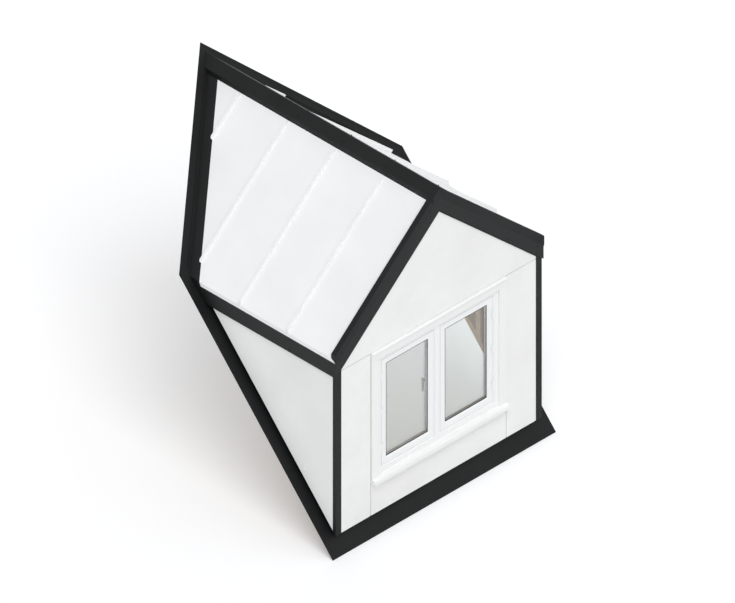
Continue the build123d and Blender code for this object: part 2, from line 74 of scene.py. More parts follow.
def solids(node):
    """Lowest and highest corners of each separate solid of a node, from the left to the right."""
    mesh = nodes[node].data
    spot_of = [tuple(round(c, 5) for c in vertex.co) for vertex in mesh.vertices]
    parent = {spot: spot for spot in spot_of}

    def root(spot):
        while parent[spot] != spot:
            spot = parent[spot]
        return spot

    for face in mesh.polygons:
        first = root(spot_of[face.vertices[0]])
        for index in face.vertices[1:]:
            parent[root(spot_of[index])] = first
    groups = {}
    for spot in parent:
        groups.setdefault(root(spot), []).append(spot)
    boxes = []
    for group in groups.values():
        corners = list(zip(*group))
        boxes.append((Vector(min(c) for c in corners), Vector(max(c) for c in corners)))
    return sorted(boxes, key=lambda box: tuple(box[0]))


seat_axis = Vector(frame["record"]["mounts"][0]["axis"])
main_pitch = atan2(seat_axis.y, -seat_axis.z)
left_normal = slope_normal("roof_deck_left")
dormer_pitch = atan2(-left_normal.x, left_normal.z)
up_main = Vector((0, cos(main_pitch), sin(main_pitch)))
off_main = Vector((0, -sin(main_pitch), cos(main_pitch)))

apex_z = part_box("roof_sheet_left")[1].z
eave_x = -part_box("roof_sheet_left")[0].x
fascia_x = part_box("fascia_boards")[1].x
fascia_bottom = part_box("fascia_boards")[0].z
half_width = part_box("cheek_panel_right")[1].x
panel_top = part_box("cheek_panel_right")[1].z
front_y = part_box("gable_panel")[0].y
barge_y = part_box("barge_board_left")[0].y
verge_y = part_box("verge_trim")[0].y
batten_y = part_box("front_battens")[0].y
batten_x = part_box("front_battens")[1].x
sheathing_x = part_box("front_sheathing")[1].x
stud_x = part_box("corner_posts")[1].x
inner_x = solids("corner_posts")[1][0].x
frame_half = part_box("corner_posts")[1].y
plate_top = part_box("front_top_plate")[1].z
opening_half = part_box("rough_sill")[1].x
opening_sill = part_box("rough_sill")[1].z
opening_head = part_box("window_lintel")[0].z
casing_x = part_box("window_casing")[1].x
casing_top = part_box("window_casing")[1].z
casing_head = max(box[0].z for box in solids("window_casing"))
foot_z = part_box("lower_panel")[0].z
flange_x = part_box("apron_flashing")[1].x
flange = flange_x - half_width
timber = stud_x - inner_x
board_edge = 45 * MM
batten_width = 95 * MM
panel_joint = 8 * MM
folded_metal = 3 * MM
deck_board = 18 * MM
barge_depth = 115 * MM
trim_height = 28 * MM
play = 0.2 * MM
fine_edge = 0.3 * MM
strip_face_y = batten_y - 1.4 * MM


def seat_z(y, lift=0.0):
    """Height of the plane that lies lift above the main roof."""
    return y * tan(main_pitch) + lift / cos(main_pitch)


def seat_y(z, lift=0.0):
    """Depth at which that plane reaches the height z."""
    return (z - lift / cos(main_pitch)) / tan(main_pitch)


def roof_z(x, lift=0.0):
    """Height of the plane that lies lift above the dormer roof, at distance x from the ridge line."""
    return apex_z - abs(x) * tan(dormer_pitch) + lift / cos(dormer_pitch)


def roof_point(x, y, lift=0.0):
    """A point over the dormer roof, straight above the place x, y."""
    return Vector((x, y, roof_z(x, lift)))


cladding_lift = (foot_z - seat_z(front_y)) * cos(main_pitch)
rear_y = seat_y(apex_z) + flange


def roof_normal(side):
    """Outward normal of the left (-1) or right (1) slope."""
    return Vector((side * sin(dormer_pitch), 0, cos(dormer_pitch)))


def seat_point(x, s, lift=0.0):
    """A point over the main roof: x across it, s up its slope and lift off it."""
    return X * x + up_main * s + off_main * lift


def valley_s(x, depth=0.0):
    """Distance up the main roof at which the plane depth under the dormer roof meets it."""
    return roof_z(x, -depth) / sin(main_pitch)


def down_slope(side):
    """Direction down the left (-1) or right (1) slope."""
    return Vector((side * cos(dormer_pitch), 0, -sin(dormer_pitch)))


# ---- materials: one helper for colours and one for nodes


def linear(hexa):
    """An sRGB hex colour as linear red, green, blue and alpha."""
    parts = [int(hexa[i : i + 2], 16) / 255 for i in (1, 3, 5)]
    return [c / 12.92 if c <= 0.04045 else ((c + 0.055) / 1.055) ** 2.4 for c in parts] + [1.0]


def give(tree, node, inputs):
    """Sets a node's inputs, by name or number, to values, hex colours or the sockets that feed them."""
    for key, value in inputs.items():
        if isinstance(value, bpy.types.NodeSocket):
            tree.links.new(value, node.inputs[key])
        else:
            is_colour = isinstance(value, str) and value.startswith("#")
            node.inputs[key].default_value = linear(value) if is_colour else value


def add(tree, kind, inputs=None, **settings):
    """Adds a node with its settings and its inputs."""
    node = tree.nodes.new(kind)
    for key, value in settings.items():
        setattr(node, key, value)
    give(tree, node, inputs or {})
    return node


def new_material(name):
    """An empty node material: the material, its tree and the piece's own coordinates."""
    material = bpy.data.materials.new(name)
    material.use_nodes = True
    tree = material.node_tree
    return material, tree, add(tree, "ShaderNodeTexCoord").outputs["Object"]


def finished(material, colour, roughness, relief, depth, strength, more):
    """Gives a material its colour, its roughness, a relief of that depth and its other shader inputs."""
    tree = material.node_tree
    bump = add(tree, "ShaderNodeBump", {"Height": relief, "Distance": depth, "Strength": strength})
    look = {"Base Color": colour, "Roughness": roughness, "Normal": bump.outputs[0], **more}
    give(tree, tree.nodes["Principled BSDF"], look)
    return material


def fade(tree, value, start, end, first, last):
    """Colour that goes from first to last while a value goes from start to end."""
    share = add(tree, "ShaderNodeMapRange", {"Value": value, "From Min": start, "From Max": end})
    return add(tree, "ShaderNodeMix", {0: share.outputs[0], 6: first, 7: last}, data_type="RGBA").outputs[2]


def shaded(tree, colour, value, start, end, darkest):
    """The colour times a shade that goes from darkest to 1 while a value goes from start to end."""
    inputs = {"Value": value, "From Min": start, "From Max": end, "To Min": darkest}
    shade = add(tree, "ShaderNodeMapRange", inputs).outputs[0]
    return add(tree, "ShaderNodeVectorMath", {0: colour, "Scale": shade}, operation="SCALE").outputs[0]


def per_metre(sizes):
    """How often a pattern of those sizes along x, y and z, in millimetres, repeats in a metre."""
    return [1 / (size * MM) for size in sizes]


def streaks(tree, place, sizes, detail=2.0, **more):
    """Noise drawn out into streaks of those sizes along x, y and z, in millimetres."""
    drawn = add(tree, "ShaderNodeMapping", {"Vector": place, "Scale": per_metre(sizes)}).outputs[0]
    inputs = {"Vector": drawn, "Scale": 1.0, "Detail": detail, **more}
    return add(tree, "ShaderNodeTexNoise", inputs).outputs[0]


def grain_place(tree, place, along, across, mirrored=False):
    """Coordinates with X along the grain, Y across it and Z through it; mirrored makes both slopes alike."""
    if mirrored:
        parts = add(tree, "ShaderNodeSeparateXYZ", {0: place}).outputs
        folded = add(tree, "ShaderNodeMath", {0: parts[0]}, operation="ABSOLUTE").outputs[0]
        place = add(tree, "ShaderNodeCombineXYZ", {0: folded, 1: parts[1], 2: parts[2]}).outputs[0]
    turned = {}
    for i, direction in enumerate((along, across, along.cross(across))):
        dot = add(tree, "ShaderNodeVectorMath", {0: place, 1: direction}, operation="DOT_PRODUCT")
        turned[i] = dot.outputs["Value"]
    return add(tree, "ShaderNodeCombineXYZ", turned).outputs[0]


def softwood(name, pale, dark, along, across, mirrored=False):
    """Planed spruce: straight growth rings 5 to 10 mm apart, drawn out along the board, with a few knots."""
    material, tree, place = new_material(name)
    grain = grain_place(tree, place, along, across, mirrored)
    rings = streaks(tree, grain, (455, 10.5, 10.5), 4.0, Roughness=0.62)
    wood = fade(tree, rings, 0.36, 0.56, dark, pale)
    drift = streaks(tree, grain, (154, 22, 22), 3.0)
    wood = shaded(tree, wood, drift, 0.3, 0.7, 0.856)
    spread = per_metre((312, 125, 125))
    drawn = add(tree, "ShaderNodeMapping", {"Vector": grain, "Scale": spread}).outputs[0]
    knots = add(tree, "ShaderNodeTexVoronoi", {"Vector": drawn, "Scale": 1.0, "Randomness": 0.9})
    wood = fade(tree, knots.outputs["Distance"], 0.105, 0.055, wood, "#7A4B26")
    fibres = streaks(tree, grain, (110, 1.7, 1.7))
    return finished(material, wood, 0.62, fibres, 0.4 * MM, 0.5, {"IOR": 1.5})


def strand_board(name, along, across):
    """Oriented strand board: flat strands about 90 mm by 19 mm at many angles, waxed and pressed smooth."""
    material, tree, place = new_material(name)
    flat = grain_place(tree, place, along, across)
    strand = per_metre((90, 19, 33))
    layers = ((0.15, 0.0), (0.85, 3.1), (-0.65, 7.7), (1.5, 11.3))
    colour = "#D2AD75"
    for turn, shift in layers:
        inputs = {"Vector": flat, "Rotation": (0, 0, turn), "Location": (shift, shift, 0)}
        turned = add(tree, "ShaderNodeMapping", inputs).outputs[0]
        drawn = add(tree, "ShaderNodeMapping", {"Vector": turned, "Scale": strand}).outputs[0]
        strands = add(tree, "ShaderNodeTexVoronoi", {"Vector": drawn, "Scale": 1.0})
        chance = add(tree, "ShaderNodeSeparateColor", {0: strands.outputs["Color"]}).outputs
        tone = fade(tree, chance[0], 0.0, 0.35, "#B98E55", "#D0A96F")
        tone = fade(tree, chance[0], 0.35, 1.0, tone, "#E6C995")
        colour = fade(tree, chance[1], 0.49, 0.51, colour, tone)
    fibres = streaks(tree, flat, (17, 3, 3))
    return finished(material, colour, 0.55, fibres, 0.5 * MM, 0.6, {"IOR": 1.5})


def plywood(name):
    """Softwood plywood deck: broad soft rotary-cut figure on the face, and plies of 3 mm at the edges."""
    material, tree, place = new_material(name)
    grain = grain_place(tree, place, Y, down_slope(1), mirrored=True)
    figure = streaks(tree, grain, (700, 77, 77), 5.0, Distortion=1.2)
    face = fade(tree, figure, 0.36, 0.5, "#C9A069", "#D9B986")
    face = fade(tree, figure, 0.5, 0.62, face, "#E2C697")
    lines = streaks(tree, grain, (200, 3.8, 3.8))
    face = shaded(tree, face, lines, 0.35, 0.6, 0.93)
    ply = 3 * MM
    depth = add(tree, "ShaderNodeSeparateXYZ", {0: grain}).outputs[2]
    turns = add(tree, "ShaderNodeMath", {0: depth, 1: pi / ply}, operation="MULTIPLY").outputs[0]
    plies = add(tree, "ShaderNodeMath", {0: turns}, operation="SINE").outputs[0]
    face = shaded(tree, face, plies, 0.0, 0.6, 0.86)
    return finished(material, face, 0.6, lines, 0.3 * MM, 0.5, {"IOR": 1.5})


def rough_batten(name):
    """Rough-sawn pressure-treated batten: greenish brown, with saw marks across it every 4 mm."""
    material, tree, place = new_material(name)
    grain = grain_place(tree, place, Z, X)
    rings = streaks(tree, grain, (330, 14, 14), 4.0)
    wood = fade(tree, rings, 0.35, 0.62, "#8C7A50", "#B5A27A")
    saw_marks = 4 * MM
    wave_length = 2 * pi / 20  # the wave texture's own, at a scale of 1
    repeat = (wave_length / saw_marks, 1, 1)
    drawn = add(tree, "ShaderNodeMapping", {"Vector": grain, "Scale": repeat}).outputs[0]
    saw = add(tree, "ShaderNodeTexWave", {"Vector": drawn, "Scale": 1.0, "Distortion": 1.5})
    return finished(material, wood, 0.8, saw.outputs["Fac"], 0.5 * MM, 0.6, {"IOR": 1.5})


def fibre_cement(name):
    """Through-coloured white fibre cement: matt and faintly cloudy. Its sanding marks are finer in fact, but
    drawn 2 mm apart so that they show."""
    material, tree, place = new_material(name)
    cloud = streaks(tree, place, [420] * 3, 5.0, Roughness=0.6)
    white = fade(tree, cloud, 0.3, 0.7, "#EEEEEB", "#F6F6F4")
    sanding = streaks(tree, place, [2.1] * 3)
    return finished(material, white, 0.72, sanding, 0.15 * MM, 0.5, {"IOR": 1.5})


def coated_steel(name, pale, dark, roughness, gloss):
    """Coil-coated steel sheet: satin polyester with an orange peel about 1 mm across, over sheet that isn't
    quite flat and bends its reflections."""
    material, tree, place = new_material(name)
    cloud = streaks(tree, place, [330] * 3, 4.0)
    colour = fade(tree, cloud, 0.3, 0.7, dark, pale)
    ends = {"From Min": 0.3, "From Max": 0.7, "To Min": roughness + 0.05, "To Max": roughness - 0.05}
    satin = add(tree, "ShaderNodeMapRange", {"Value": cloud, **ends}).outputs[0]
    canning = streaks(tree, place, [385] * 3, 1.0)
    peel = streaks(tree, place, [1.1] * 3, 1.0)
    uneven = add(tree, "ShaderNodeMix", {0: 0.02, 2: canning, 3: peel}).outputs[0]
    more = {"IOR": 1.5, "Specular IOR Level": gloss}
    return finished(material, colour, satin, uneven, 2.5 * MM, 0.6, more)


def painted_board(name, pale, dark, grain_of, gloss=0.5):
    """Factory-painted softwood trim: satin paint that shows a trace of the grain."""
    material, tree, place = new_material(name)
    rings = streaks(tree, grain_of(tree, place), (330, 8.3, 8.3), 4.0)
    colour = fade(tree, rings, 0.35, 0.65, dark, pale)
    more = {"IOR": 1.5, "Specular IOR Level": gloss}
    return finished(material, colour, 0.46, rings, 0.25 * MM, 0.5, more)


def barge_grain(tree, place):
    """Grain that runs down both slopes."""
    return grain_place(tree, place, down_slope(1), Y, mirrored=True)


def fascia_grain(tree, place):
    """Grain that runs from front to back."""
    return grain_place(tree, place, Y, Z)


def sill_grain(tree, place):
    """Grain that runs from side to side."""
    return grain_place(tree, place, X, Y)


def casing_grain(tree, place):
    """Grain that runs up the two side boards and along the head board."""
    height = add(tree, "ShaderNodeSeparateXYZ", {0: place}).outputs[2]
    in_head = add(tree, "ShaderNodeMath", {0: height, 1: casing_head}, operation="GREATER_THAN").outputs[0]
    ways = {0: in_head, 4: grain_place(tree, place, Z, X), 5: grain_place(tree, place, X, Z)}
    return add(tree, "ShaderNodeMix", ways, data_type="VECTOR").outputs[1]


def white_profile(name):
    """Extruded white window profile: smooth and satin, with faint drawing lines along every bar. They are
    finer in fact, but drawn 3 mm apart so that they show."""
    material, tree, place = new_material(name)
    low_sash, high_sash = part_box("window_sash_right")
    middle_of, half_of = (low_sash + high_sash) / 2, (high_sash - low_sash) / 2
    parts = add(tree, "ShaderNodeSeparateXYZ", {0: place}).outputs
    across = add(tree, "ShaderNodeMath", {0: parts[0]}, operation="ABSOLUTE").outputs[0]
    outward = []
    for reach, middle, half in ((across, middle_of.x, half_of.x), (parts[2], middle_of.z, half_of.z)):
        shifted = add(tree, "ShaderNodeMath", {0: reach, 1: middle}, operation="SUBTRACT").outputs[0]
        folded = add(tree, "ShaderNodeMath", {0: shifted}, operation="ABSOLUTE").outputs[0]
        outward.append(add(tree, "ShaderNodeMath", {0: folded, 1: half}, operation="SUBTRACT").outputs[0])
    from_edge = add(tree, "ShaderNodeMath", dict(enumerate(outward)), operation="MAXIMUM").outputs[0]
    along_bars = add(tree, "ShaderNodeCombineXYZ", {0: from_edge, 1: parts[1]}).outputs[0]
    lines = streaks(tree, along_bars, [3.3] * 3, 1.0)
    tone = fade(tree, lines, 0.3, 0.7, "#F1F2F1", "#F7F8F7")
    return finished(material, tone, 0.28, lines, 0.05 * MM, 0.4, {"IOR": 1.46})


def clear_glass(name):
    """Float glass with a faint low-iron tint and barely uneven faces."""
    material, tree, place = new_material(name)
    uneven = streaks(tree, place, [455] * 3, 1.0)
    more = {"IOR": 1.5, "Transmission Weight": 1.0}
    return finished(material, "#F9FCFB", 0.02, uneven, 0.4 * MM, 0.3, more)


def brushed_aluminium(name):
    """Anodised aluminium, brushed along the handle. The brush lines are about 0.1 mm wide in fact, but drawn
    1 mm wide so that they show."""
    material, tree, place = new_material(name)
    brush = streaks(tree, place, (1.1, 1.1, 33))
    colour = fade(tree, brush, 0.3, 0.7, "#B7B9BB", "#CFD1D3")
    return finished(material, colour, 0.34, brush, 0.04 * MM, 0.4, {"Metallic": 1.0})


def zinc_coated_steel(name):
    """Hot-dip galvanised sheet steel: pale grey spangles about 9 mm across, dulled to satin."""
    material, tree, place = new_material(name)
    spangle = add(tree, "ShaderNodeTexVoronoi", {"Vector": place, "Scale": 1 / (9 * MM)})
    chance = add(tree, "ShaderNodeSeparateColor", {0: spangle.outputs["Color"]}).outputs
    colour = fade(tree, chance[0], 0.0, 1.0, "#A9ADB0", "#C6CACC")
    satin = add(tree, "ShaderNodeMapRange", {"Value": chance[1], "To Min": 0.36, "To Max": 0.52})
    return finished(material, colour, satin.outputs[0], chance[0], 0.05 * MM, 0.5, {"Metallic": 0.9})


def seal_rubber(name):
    """Extruded black sealing rubber: matt and slightly dusty."""
    material, tree, place = new_material(name)
    dust = streaks(tree, place, [25] * 3, 4.0)
    colour = fade(tree, dust, 0.3, 0.7, "#242526", "#2E2F30")
    more = {"IOR": 1.5, "Specular IOR Level": 0.3}
    return finished(material, colour, 0.75, dust, 0.2 * MM, 0.5, more)


valley_along = Vector((1, -tan(dormer_pitch) / tan(main_pitch), -tan(dormer_pitch))).normalized()
valley_across = off_main.cross(valley_along).normalized()
post_wood = softwood("spruce_posts", "#E3C595", "#C69A63", Z, X)
plate_wood = softwood("spruce_plates", "#E0C18F", "#C3975F", X, Y)
long_plate_wood = softwood("spruce_long_plates", "#DFC090", "#C1955E", Y, X)
sole_wood = softwood("spruce_sole_plates", "#DEBE8B", "#BF925A", up_main, X)
rafter_wood = softwood("spruce_rafters", "#E4C798", "#C89D66", down_slope(1), Y, True)
valley_wood = softwood("spruce_valley_boards", "#DDBD8C", "#BF945E", valley_along, valley_across, True)
front_board = strand_board("strand_board_front", X, Z)
cheek_board = strand_board("strand_board_cheeks", Y, Z)
deck_ply = plywood("plywood_deck")
batten_wood = rough_batten("treated_battens")
white_panel = fibre_cement("white_fibre_cement")
white_sheet = coated_steel("white_coated_steel", "#F5F6F5", "#F0F1F0", 0.5, 0.3)
dark_sheet = coated_steel("black_coated_steel", "#151617", "#0F1011", 0.52, 0.22)
joint_metal = coated_steel("pale_coated_joint_strip", "#D6D7D5", "#CBCCCA", 0.5, 0.3)
dark_barge = painted_board("black_painted_barges", "#161718", "#0F1011", barge_grain, 0.22)
dark_fascia = painted_board("black_painted_fascias", "#161718", "#0F1011", fascia_grain, 0.22)
white_board = painted_board("white_painted_boards", "#F5F5F3", "#F1F1EF", casing_grain)
white_sill = painted_board("white_painted_sill", "#F5F5F3", "#F1F1EF", sill_grain)
white_frame = white_profile("white_window_profile")
glass = clear_glass("float_glass")
handle_metal = brushed_aluminium("anodised_aluminium")
galvanised = zinc_coated_steel("galvanised_steel")
black_rubber = seal_rubber("black_sealing_rubber")

finishes = {
    post_wood: [
        "corner_posts",
        "king_studs",
        "trimmer_studs",
        "cripple_studs",
        "gable_studs",
        "cheek_studs",
    ],
    plate_wood: ["front_sill_plate", "window_lintel", "front_top_plate", "rough_sill", "collar_ties"],
    long_plate_wood: ["top_plates", "ridge_board"],
    sole_wood: ["sole_plates"],
    rafter_wood: ["common_rafters", "jack_rafters"],
    valley_wood: ["valley_board_left", "valley_board_right"],
    front_board: ["front_sheathing"],
    cheek_board: ["cheek_sheathing"],
    deck_ply: ["roof_deck_left", "roof_deck_right"],
    batten_wood: ["front_battens", "cheek_battens"],
    white_panel: ["cheek_panel_left", "cheek_panel_right", "front_panels", "lower_panel", "gable_panel"],
    white_sheet: ["roof_sheet_left", "roof_sheet_right"],
    dark_sheet: [
        "apron_flashing",
        "side_flashings",
        "valley_flashing_left",
        "valley_flashing_right",
        "verge_trim",
        "ridge_cap",
        "corner_trims",
    ],
    dark_barge: ["barge_board_left", "barge_board_right"],
    dark_fascia: ["fascia_boards"],
    white_board: ["window_casing"],
    white_sill: ["window_sill"],
    white_frame: ["window_frame", "window_sash_left", "window_sash_right"],
    glass: ["window_glass"],
    handle_metal: ["window_handles"],
}
for finish, names in finishes.items():
    for name in names:
        nodes[name].data.materials.clear()
        nodes[name].data.materials.append(finish)

# ---- making pieces: solids from outlines, and Geometry Nodes for what repeats


def new_object(name, data):
    """A new object in the scene."""
    made = bpy.data.objects.new(name, data)
    bpy.context.scene.collection.objects.link(made)
    return made


def shape_to_mesh(shape):
    """Turns a bmesh of closed solids into a mesh whose faces point outwards."""
    bmesh.ops.recalc_face_normals(shape, faces=shape.faces)
    mesh = bpy.data.meshes.new("shape")
    shape.to_mesh(mesh)
    shape.free()
    return mesh


def add_piece(name, made, finish, replaces=()):
    """Adds a piece, made in its own place as a mesh or a bmesh of closed solids, to the dormer."""
    mesh = made if isinstance(made, bpy.types.Mesh) else shape_to_mesh(made)
    mesh.name = name
    mesh.materials.clear()
    mesh.materials.append(finish)
    piece = new_object(name, mesh)
    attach(piece, "root")
    if replaces:
        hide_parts(*replaces)


def oblong(a0, a1, b0, b1):
    """Outline of an oblong, from a0 to a1 one way and from b0 to b1 the other."""
    return [(a0, b0), (a1, b0), (a1, b1), (a0, b1)]


def extruded(shape, outline, origin, across, upward, depth, chamfer=0.0):
    """Adds a closed outline of (across, upward) points, run on by depth along across x upward."""
    normal = across.cross(upward)
    near = [shape.verts.new(origin + across * a + upward * b) for a, b in outline]
    far = [shape.verts.new(vertex.co + normal * depth) for vertex in near]
    shape.faces.new(near[::-1])
    shape.faces.new(far)
    for i in range(len(near)):
        j = (i + 1) % len(near)
        shape.faces.new((near[i], near[j], far[j], far[i]))
    if chamfer:
        edges = dict.fromkeys(edge for vertex in near + far for edge in vertex.link_edges)
        bmesh.ops.bevel(shape, geom=list(edges), offset=chamfer, segments=2, profile=0.5, affect="EDGES")


def block(shape, low_corner, high_corner, chamfer=0.0):
    """Adds an upright block between two corners."""
    low_corner, high_corner = Vector(low_corner), Vector(high_corner)
    size = high_corner - low_corner
    extruded(shape, oblong(0, size.x, 0, size.y), low_corner, X, Y, size.z, chamfer)


def rim(shape, low_corner, high_corner, width):
    """Adds a frame between two corners, open along Y, with bars of that width inside its outline."""
    loops = []
    for y in (low_corner.y, high_corner.y):
        for inset in (0, width):
            sides = (low_corner.x + inset, high_corner.x - inset)
            outline = oblong(*sides, low_corner.z + inset, high_corner.z - inset)
            loops.append([shape.verts.new((x, y, z)) for x, z in outline])
    for one, other in ((0, 1), (1, 3), (3, 2), (2, 0)):
        for i in range(4):
            j = (i + 1) % 4
            shape.faces.new((loops[one][i], loops[one][j], loops[other][j], loops[other][i]))


def row(start, end, spacing, inset=0.0):
    """Evenly spaced points, about that far apart, with the first and last inset from the two ends."""
    start, end = Vector(start), Vector(end)
    run = (end - start).normalized()
    start, end = start + run * inset, end - run * inset
    steps = max(1, round((end - start).length / spacing))
    return [start.lerp(end, i / steps) for i in range(steps + 1)]


def facing(points, direction, along=None):
    """Gives each point the direction it faces and the direction its length runs."""
    along = along or direction.orthogonal()
    return [(point, direction, along) for point in points]


def apart(spots, gap):
    """Leaves out each spot that is nearer than gap to one before it."""
    kept = []
    for spot in spots:
        if all((spot[0] - other[0]).length >= gap for other in kept):
            kept.append(spot)
    return kept


def new_tree(name, inputs):
    """A geometry tree with those named inputs; gives the tree, its input node and the turn of each point."""
    tree = bpy.data.node_groups.new(name, "GeometryNodeTree")
    for label, kind in {"Geometry": "Geometry", **inputs}.items():
        tree.interface.new_socket(label, in_out="INPUT", socket_type="NodeSocket" + kind)
    tree.interface.new_socket("Geometry", in_out="OUTPUT", socket_type="NodeSocketGeometry")
    given = add(tree, "NodeGroupInput").outputs
    turn = (0, 0, 0)
    for attribute, axis, pivot in (("facing", "Z", "AUTO"), ("along", "X", "Z")):
        vector = add(tree, "GeometryNodeInputNamedAttribute", {"Name": attribute}, data_type="FLOAT_VECTOR")
        links = {"Rotation": turn, "Vector": vector.outputs[0]}
        aligned = add(tree, "FunctionNodeAlignRotationToVector", links, axis=axis, pivot_axis=pivot)
        turn = aligned.outputs[0]
    return tree, given, turn


def end_tree(tree, given, instance, turn):
    """Puts the instance on every point, makes the copies real and gives them their finish."""
    links = {"Points": given["Geometry"], "Instance": instance, "Rotation": turn}
    placed = add(tree, "GeometryNodeInstanceOnPoints", links).outputs[0]
    solid = add(tree, "GeometryNodeRealizeInstances", {"Geometry": placed}).outputs[0]
    coated = add(tree, "GeometryNodeSetMaterial", {"Geometry": solid, "Material": given["Finish"]})
    add(tree, "NodeGroupOutput", {0: coated.outputs[0]})
    return tree


fastener_sizes = ("Flange radius", "Flange thickness", "Head radius", "Crown radius", "Head height")


def fastener_tree():
    """A round flange with a head, on each point: a rivet, a nail or a hexagon screw with its washer."""
    sizes = {label: "Float" for label in fastener_sizes}
    inputs = {**sizes, "Head sides": "Int", "Seed": "Int", "Finish": "Material"}
    tree, given, turn = new_tree("fasteners", inputs)
    flange_sides, head_sunk = 12, 0.3 * MM
    discs = []
    for sides, foot, top, height in (
        (flange_sides, "Flange radius", "Head radius", "Flange thickness"),
        (given["Head sides"], "Head radius", "Crown radius", "Head height"),
    ):
        inputs = {"Vertices": sides, "Radius Bottom": given[foot], "Radius Top": given[top]}
        discs.append(add(tree, "GeometryNodeMeshCone", {**inputs, "Depth": given[height]}).outputs[0])
    inputs = {0: given["Flange thickness"], 1: head_sunk}
    lift = add(tree, "ShaderNodeMath", inputs, operation="SUBTRACT").outputs[0]
    rise = add(tree, "ShaderNodeCombineXYZ", {"Z": lift}).outputs[0]
    raised = add(tree, "GeometryNodeTransform", {"Geometry": discs[1], "Translation": rise})
    both = add(tree, "GeometryNodeJoinGeometry", {0: discs[0]})
    give(tree, both, {0: raised.outputs[0]})
    chance = {2: 0.0, 3: 2 * pi, "Seed": given["Seed"]}
    spin = add(tree, "FunctionNodeRandomValue", chance, data_type="FLOAT")
    about = add(tree, "FunctionNodeAxisAngleToRotation", {"Axis": (0, 0, 1), "Angle": spin.outputs[1]})
    links = {"Rotation": turn, "Rotate By": about.outputs[0]}
    spun = add(tree, "FunctionNodeRotateRotation", links, rotation_space="LOCAL")
    return end_tree(tree, given, both.outputs[0], spun.outputs[0])


def repeat_tree():
    """A ready-made shape on each point, turned to face and to run as the point says."""
    tree, given, turn = new_tree("repeats", {"Shape": "Object", "Finish": "Material"})
    shape = add(tree, "GeometryNodeObjectInfo", {"Object": given["Shape"]})
    return end_tree(tree, given, shape.outputs["Geometry"], turn)


def grown(spots, tree, values):
    """Runs a tree over the spots and gives the result as a plain mesh."""
    points = bpy.data.meshes.new("spots")
    points.from_pydata([spot[0] for spot in spots], [], [])
    for column, label in ((1, "facing"), (2, "along")):
        attribute = points.attributes.new(label, "FLOAT_VECTOR", "POINT")
        for item, spot in zip(attribute.data, spots):
            item.vector = spot[column]
    carrier = new_object("carrier", points)
    modifier = carrier.modifiers.new("grow", "NODES")
    modifier.node_group = tree
    for socket in tree.interface.items_tree:
        if socket.in_out == "INPUT" and socket.name in values:
            modifier[socket.identifier] = values[socket.name]
    bpy.context.view_layer.update()
    evaluated = carrier.evaluated_get(bpy.context.evaluated_depsgraph_get())
    mesh = bpy.data.meshes.new_from_object(evaluated)
    bpy.data.objects.remove(carrier)
    for label in ("facing", "along"):
        if label in mesh.attributes:
            mesh.attributes.remove(mesh.attributes[label])
    return mesh


def fastener(flange, head, sides):
    """Sizes of a fastener, from its flange's radius and thickness and its head's radii and height in mm."""
    return {**dict(zip(fastener_sizes, (size * MM for size in flange + head))), "Head sides": sides}


fasteners = fastener_tree()
repeats = repeat_tree()
rivet = fastener((7, 1.2), (6, 3, 1.8), 12)
trim_rivet = fastener((5.5, 1.2), (4.5, 3, 1.8), 12)
handle_screw = fastener((4, 1.2), (3.5, 2, 1), 12)
nail = fastener((4, 0.6), (3.5, 2.75, 0.4), 10)
broad_nail = fastener((6, 0.6), (5, 2.75, 0.4), 10)
washer_screw = fastener((9, 1.6), (4.75, 4.25, 5), 6)
coach_screw = fastener((17, 3), (10, 9, 7), 6)


def add_fasteners(name, spots, kind, finish, seed):
    """Adds one piece with a fastener on every spot."""
    add_piece(name, grown(spots, fasteners, {**kind, "Seed": seed, "Finish": finish}), finish)


def copies(spots, template, finish):
    """A mesh with the template's shape on every spot."""
    shape = new_object("template", shape_to_mesh(template))
    mesh = grown(spots, repeats, {"Shape": shape, "Finish": finish})
    bpy.data.objects.remove(shape)
    return mesh


# ---- cladding: rivets in the panels' colour on the lines of the battens, and strips behind the joints

stud_ys = sorted({round(box[0].y, 4) for box in solids("cheek_studs")})
corner_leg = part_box("corner_trims")[1].x - solids("corner_trims")[1][0].x
edge_distance = 35 * MM
rivet_spacing = 360 * MM
close_spacing = 300 * MM


def cheek_rivets(side):
    """Rivets of one cheek panel: columns on the battens, a row at the top and one along the foot."""
    top = panel_top - batten_width / 2
    foot_lift = cladding_lift + batten_width / 2
    columns = [-frame_half] + [y + batten_width / 2 for y in stud_ys]
    feet = [(0, y, seat_z(y, foot_lift)) for y in columns]
    back = (0, seat_y(top, foot_lift), top)
    rows = [(foot, (0, foot[1], top)) for foot in feet] + [((0, columns[0], top), back), (feet[0], back)]
    places = [place for ends in rows for place in row(*ends, rivet_spacing)]
    return facing([Vector((side * half_width, p.y, p.z)) for p in places], X * side)


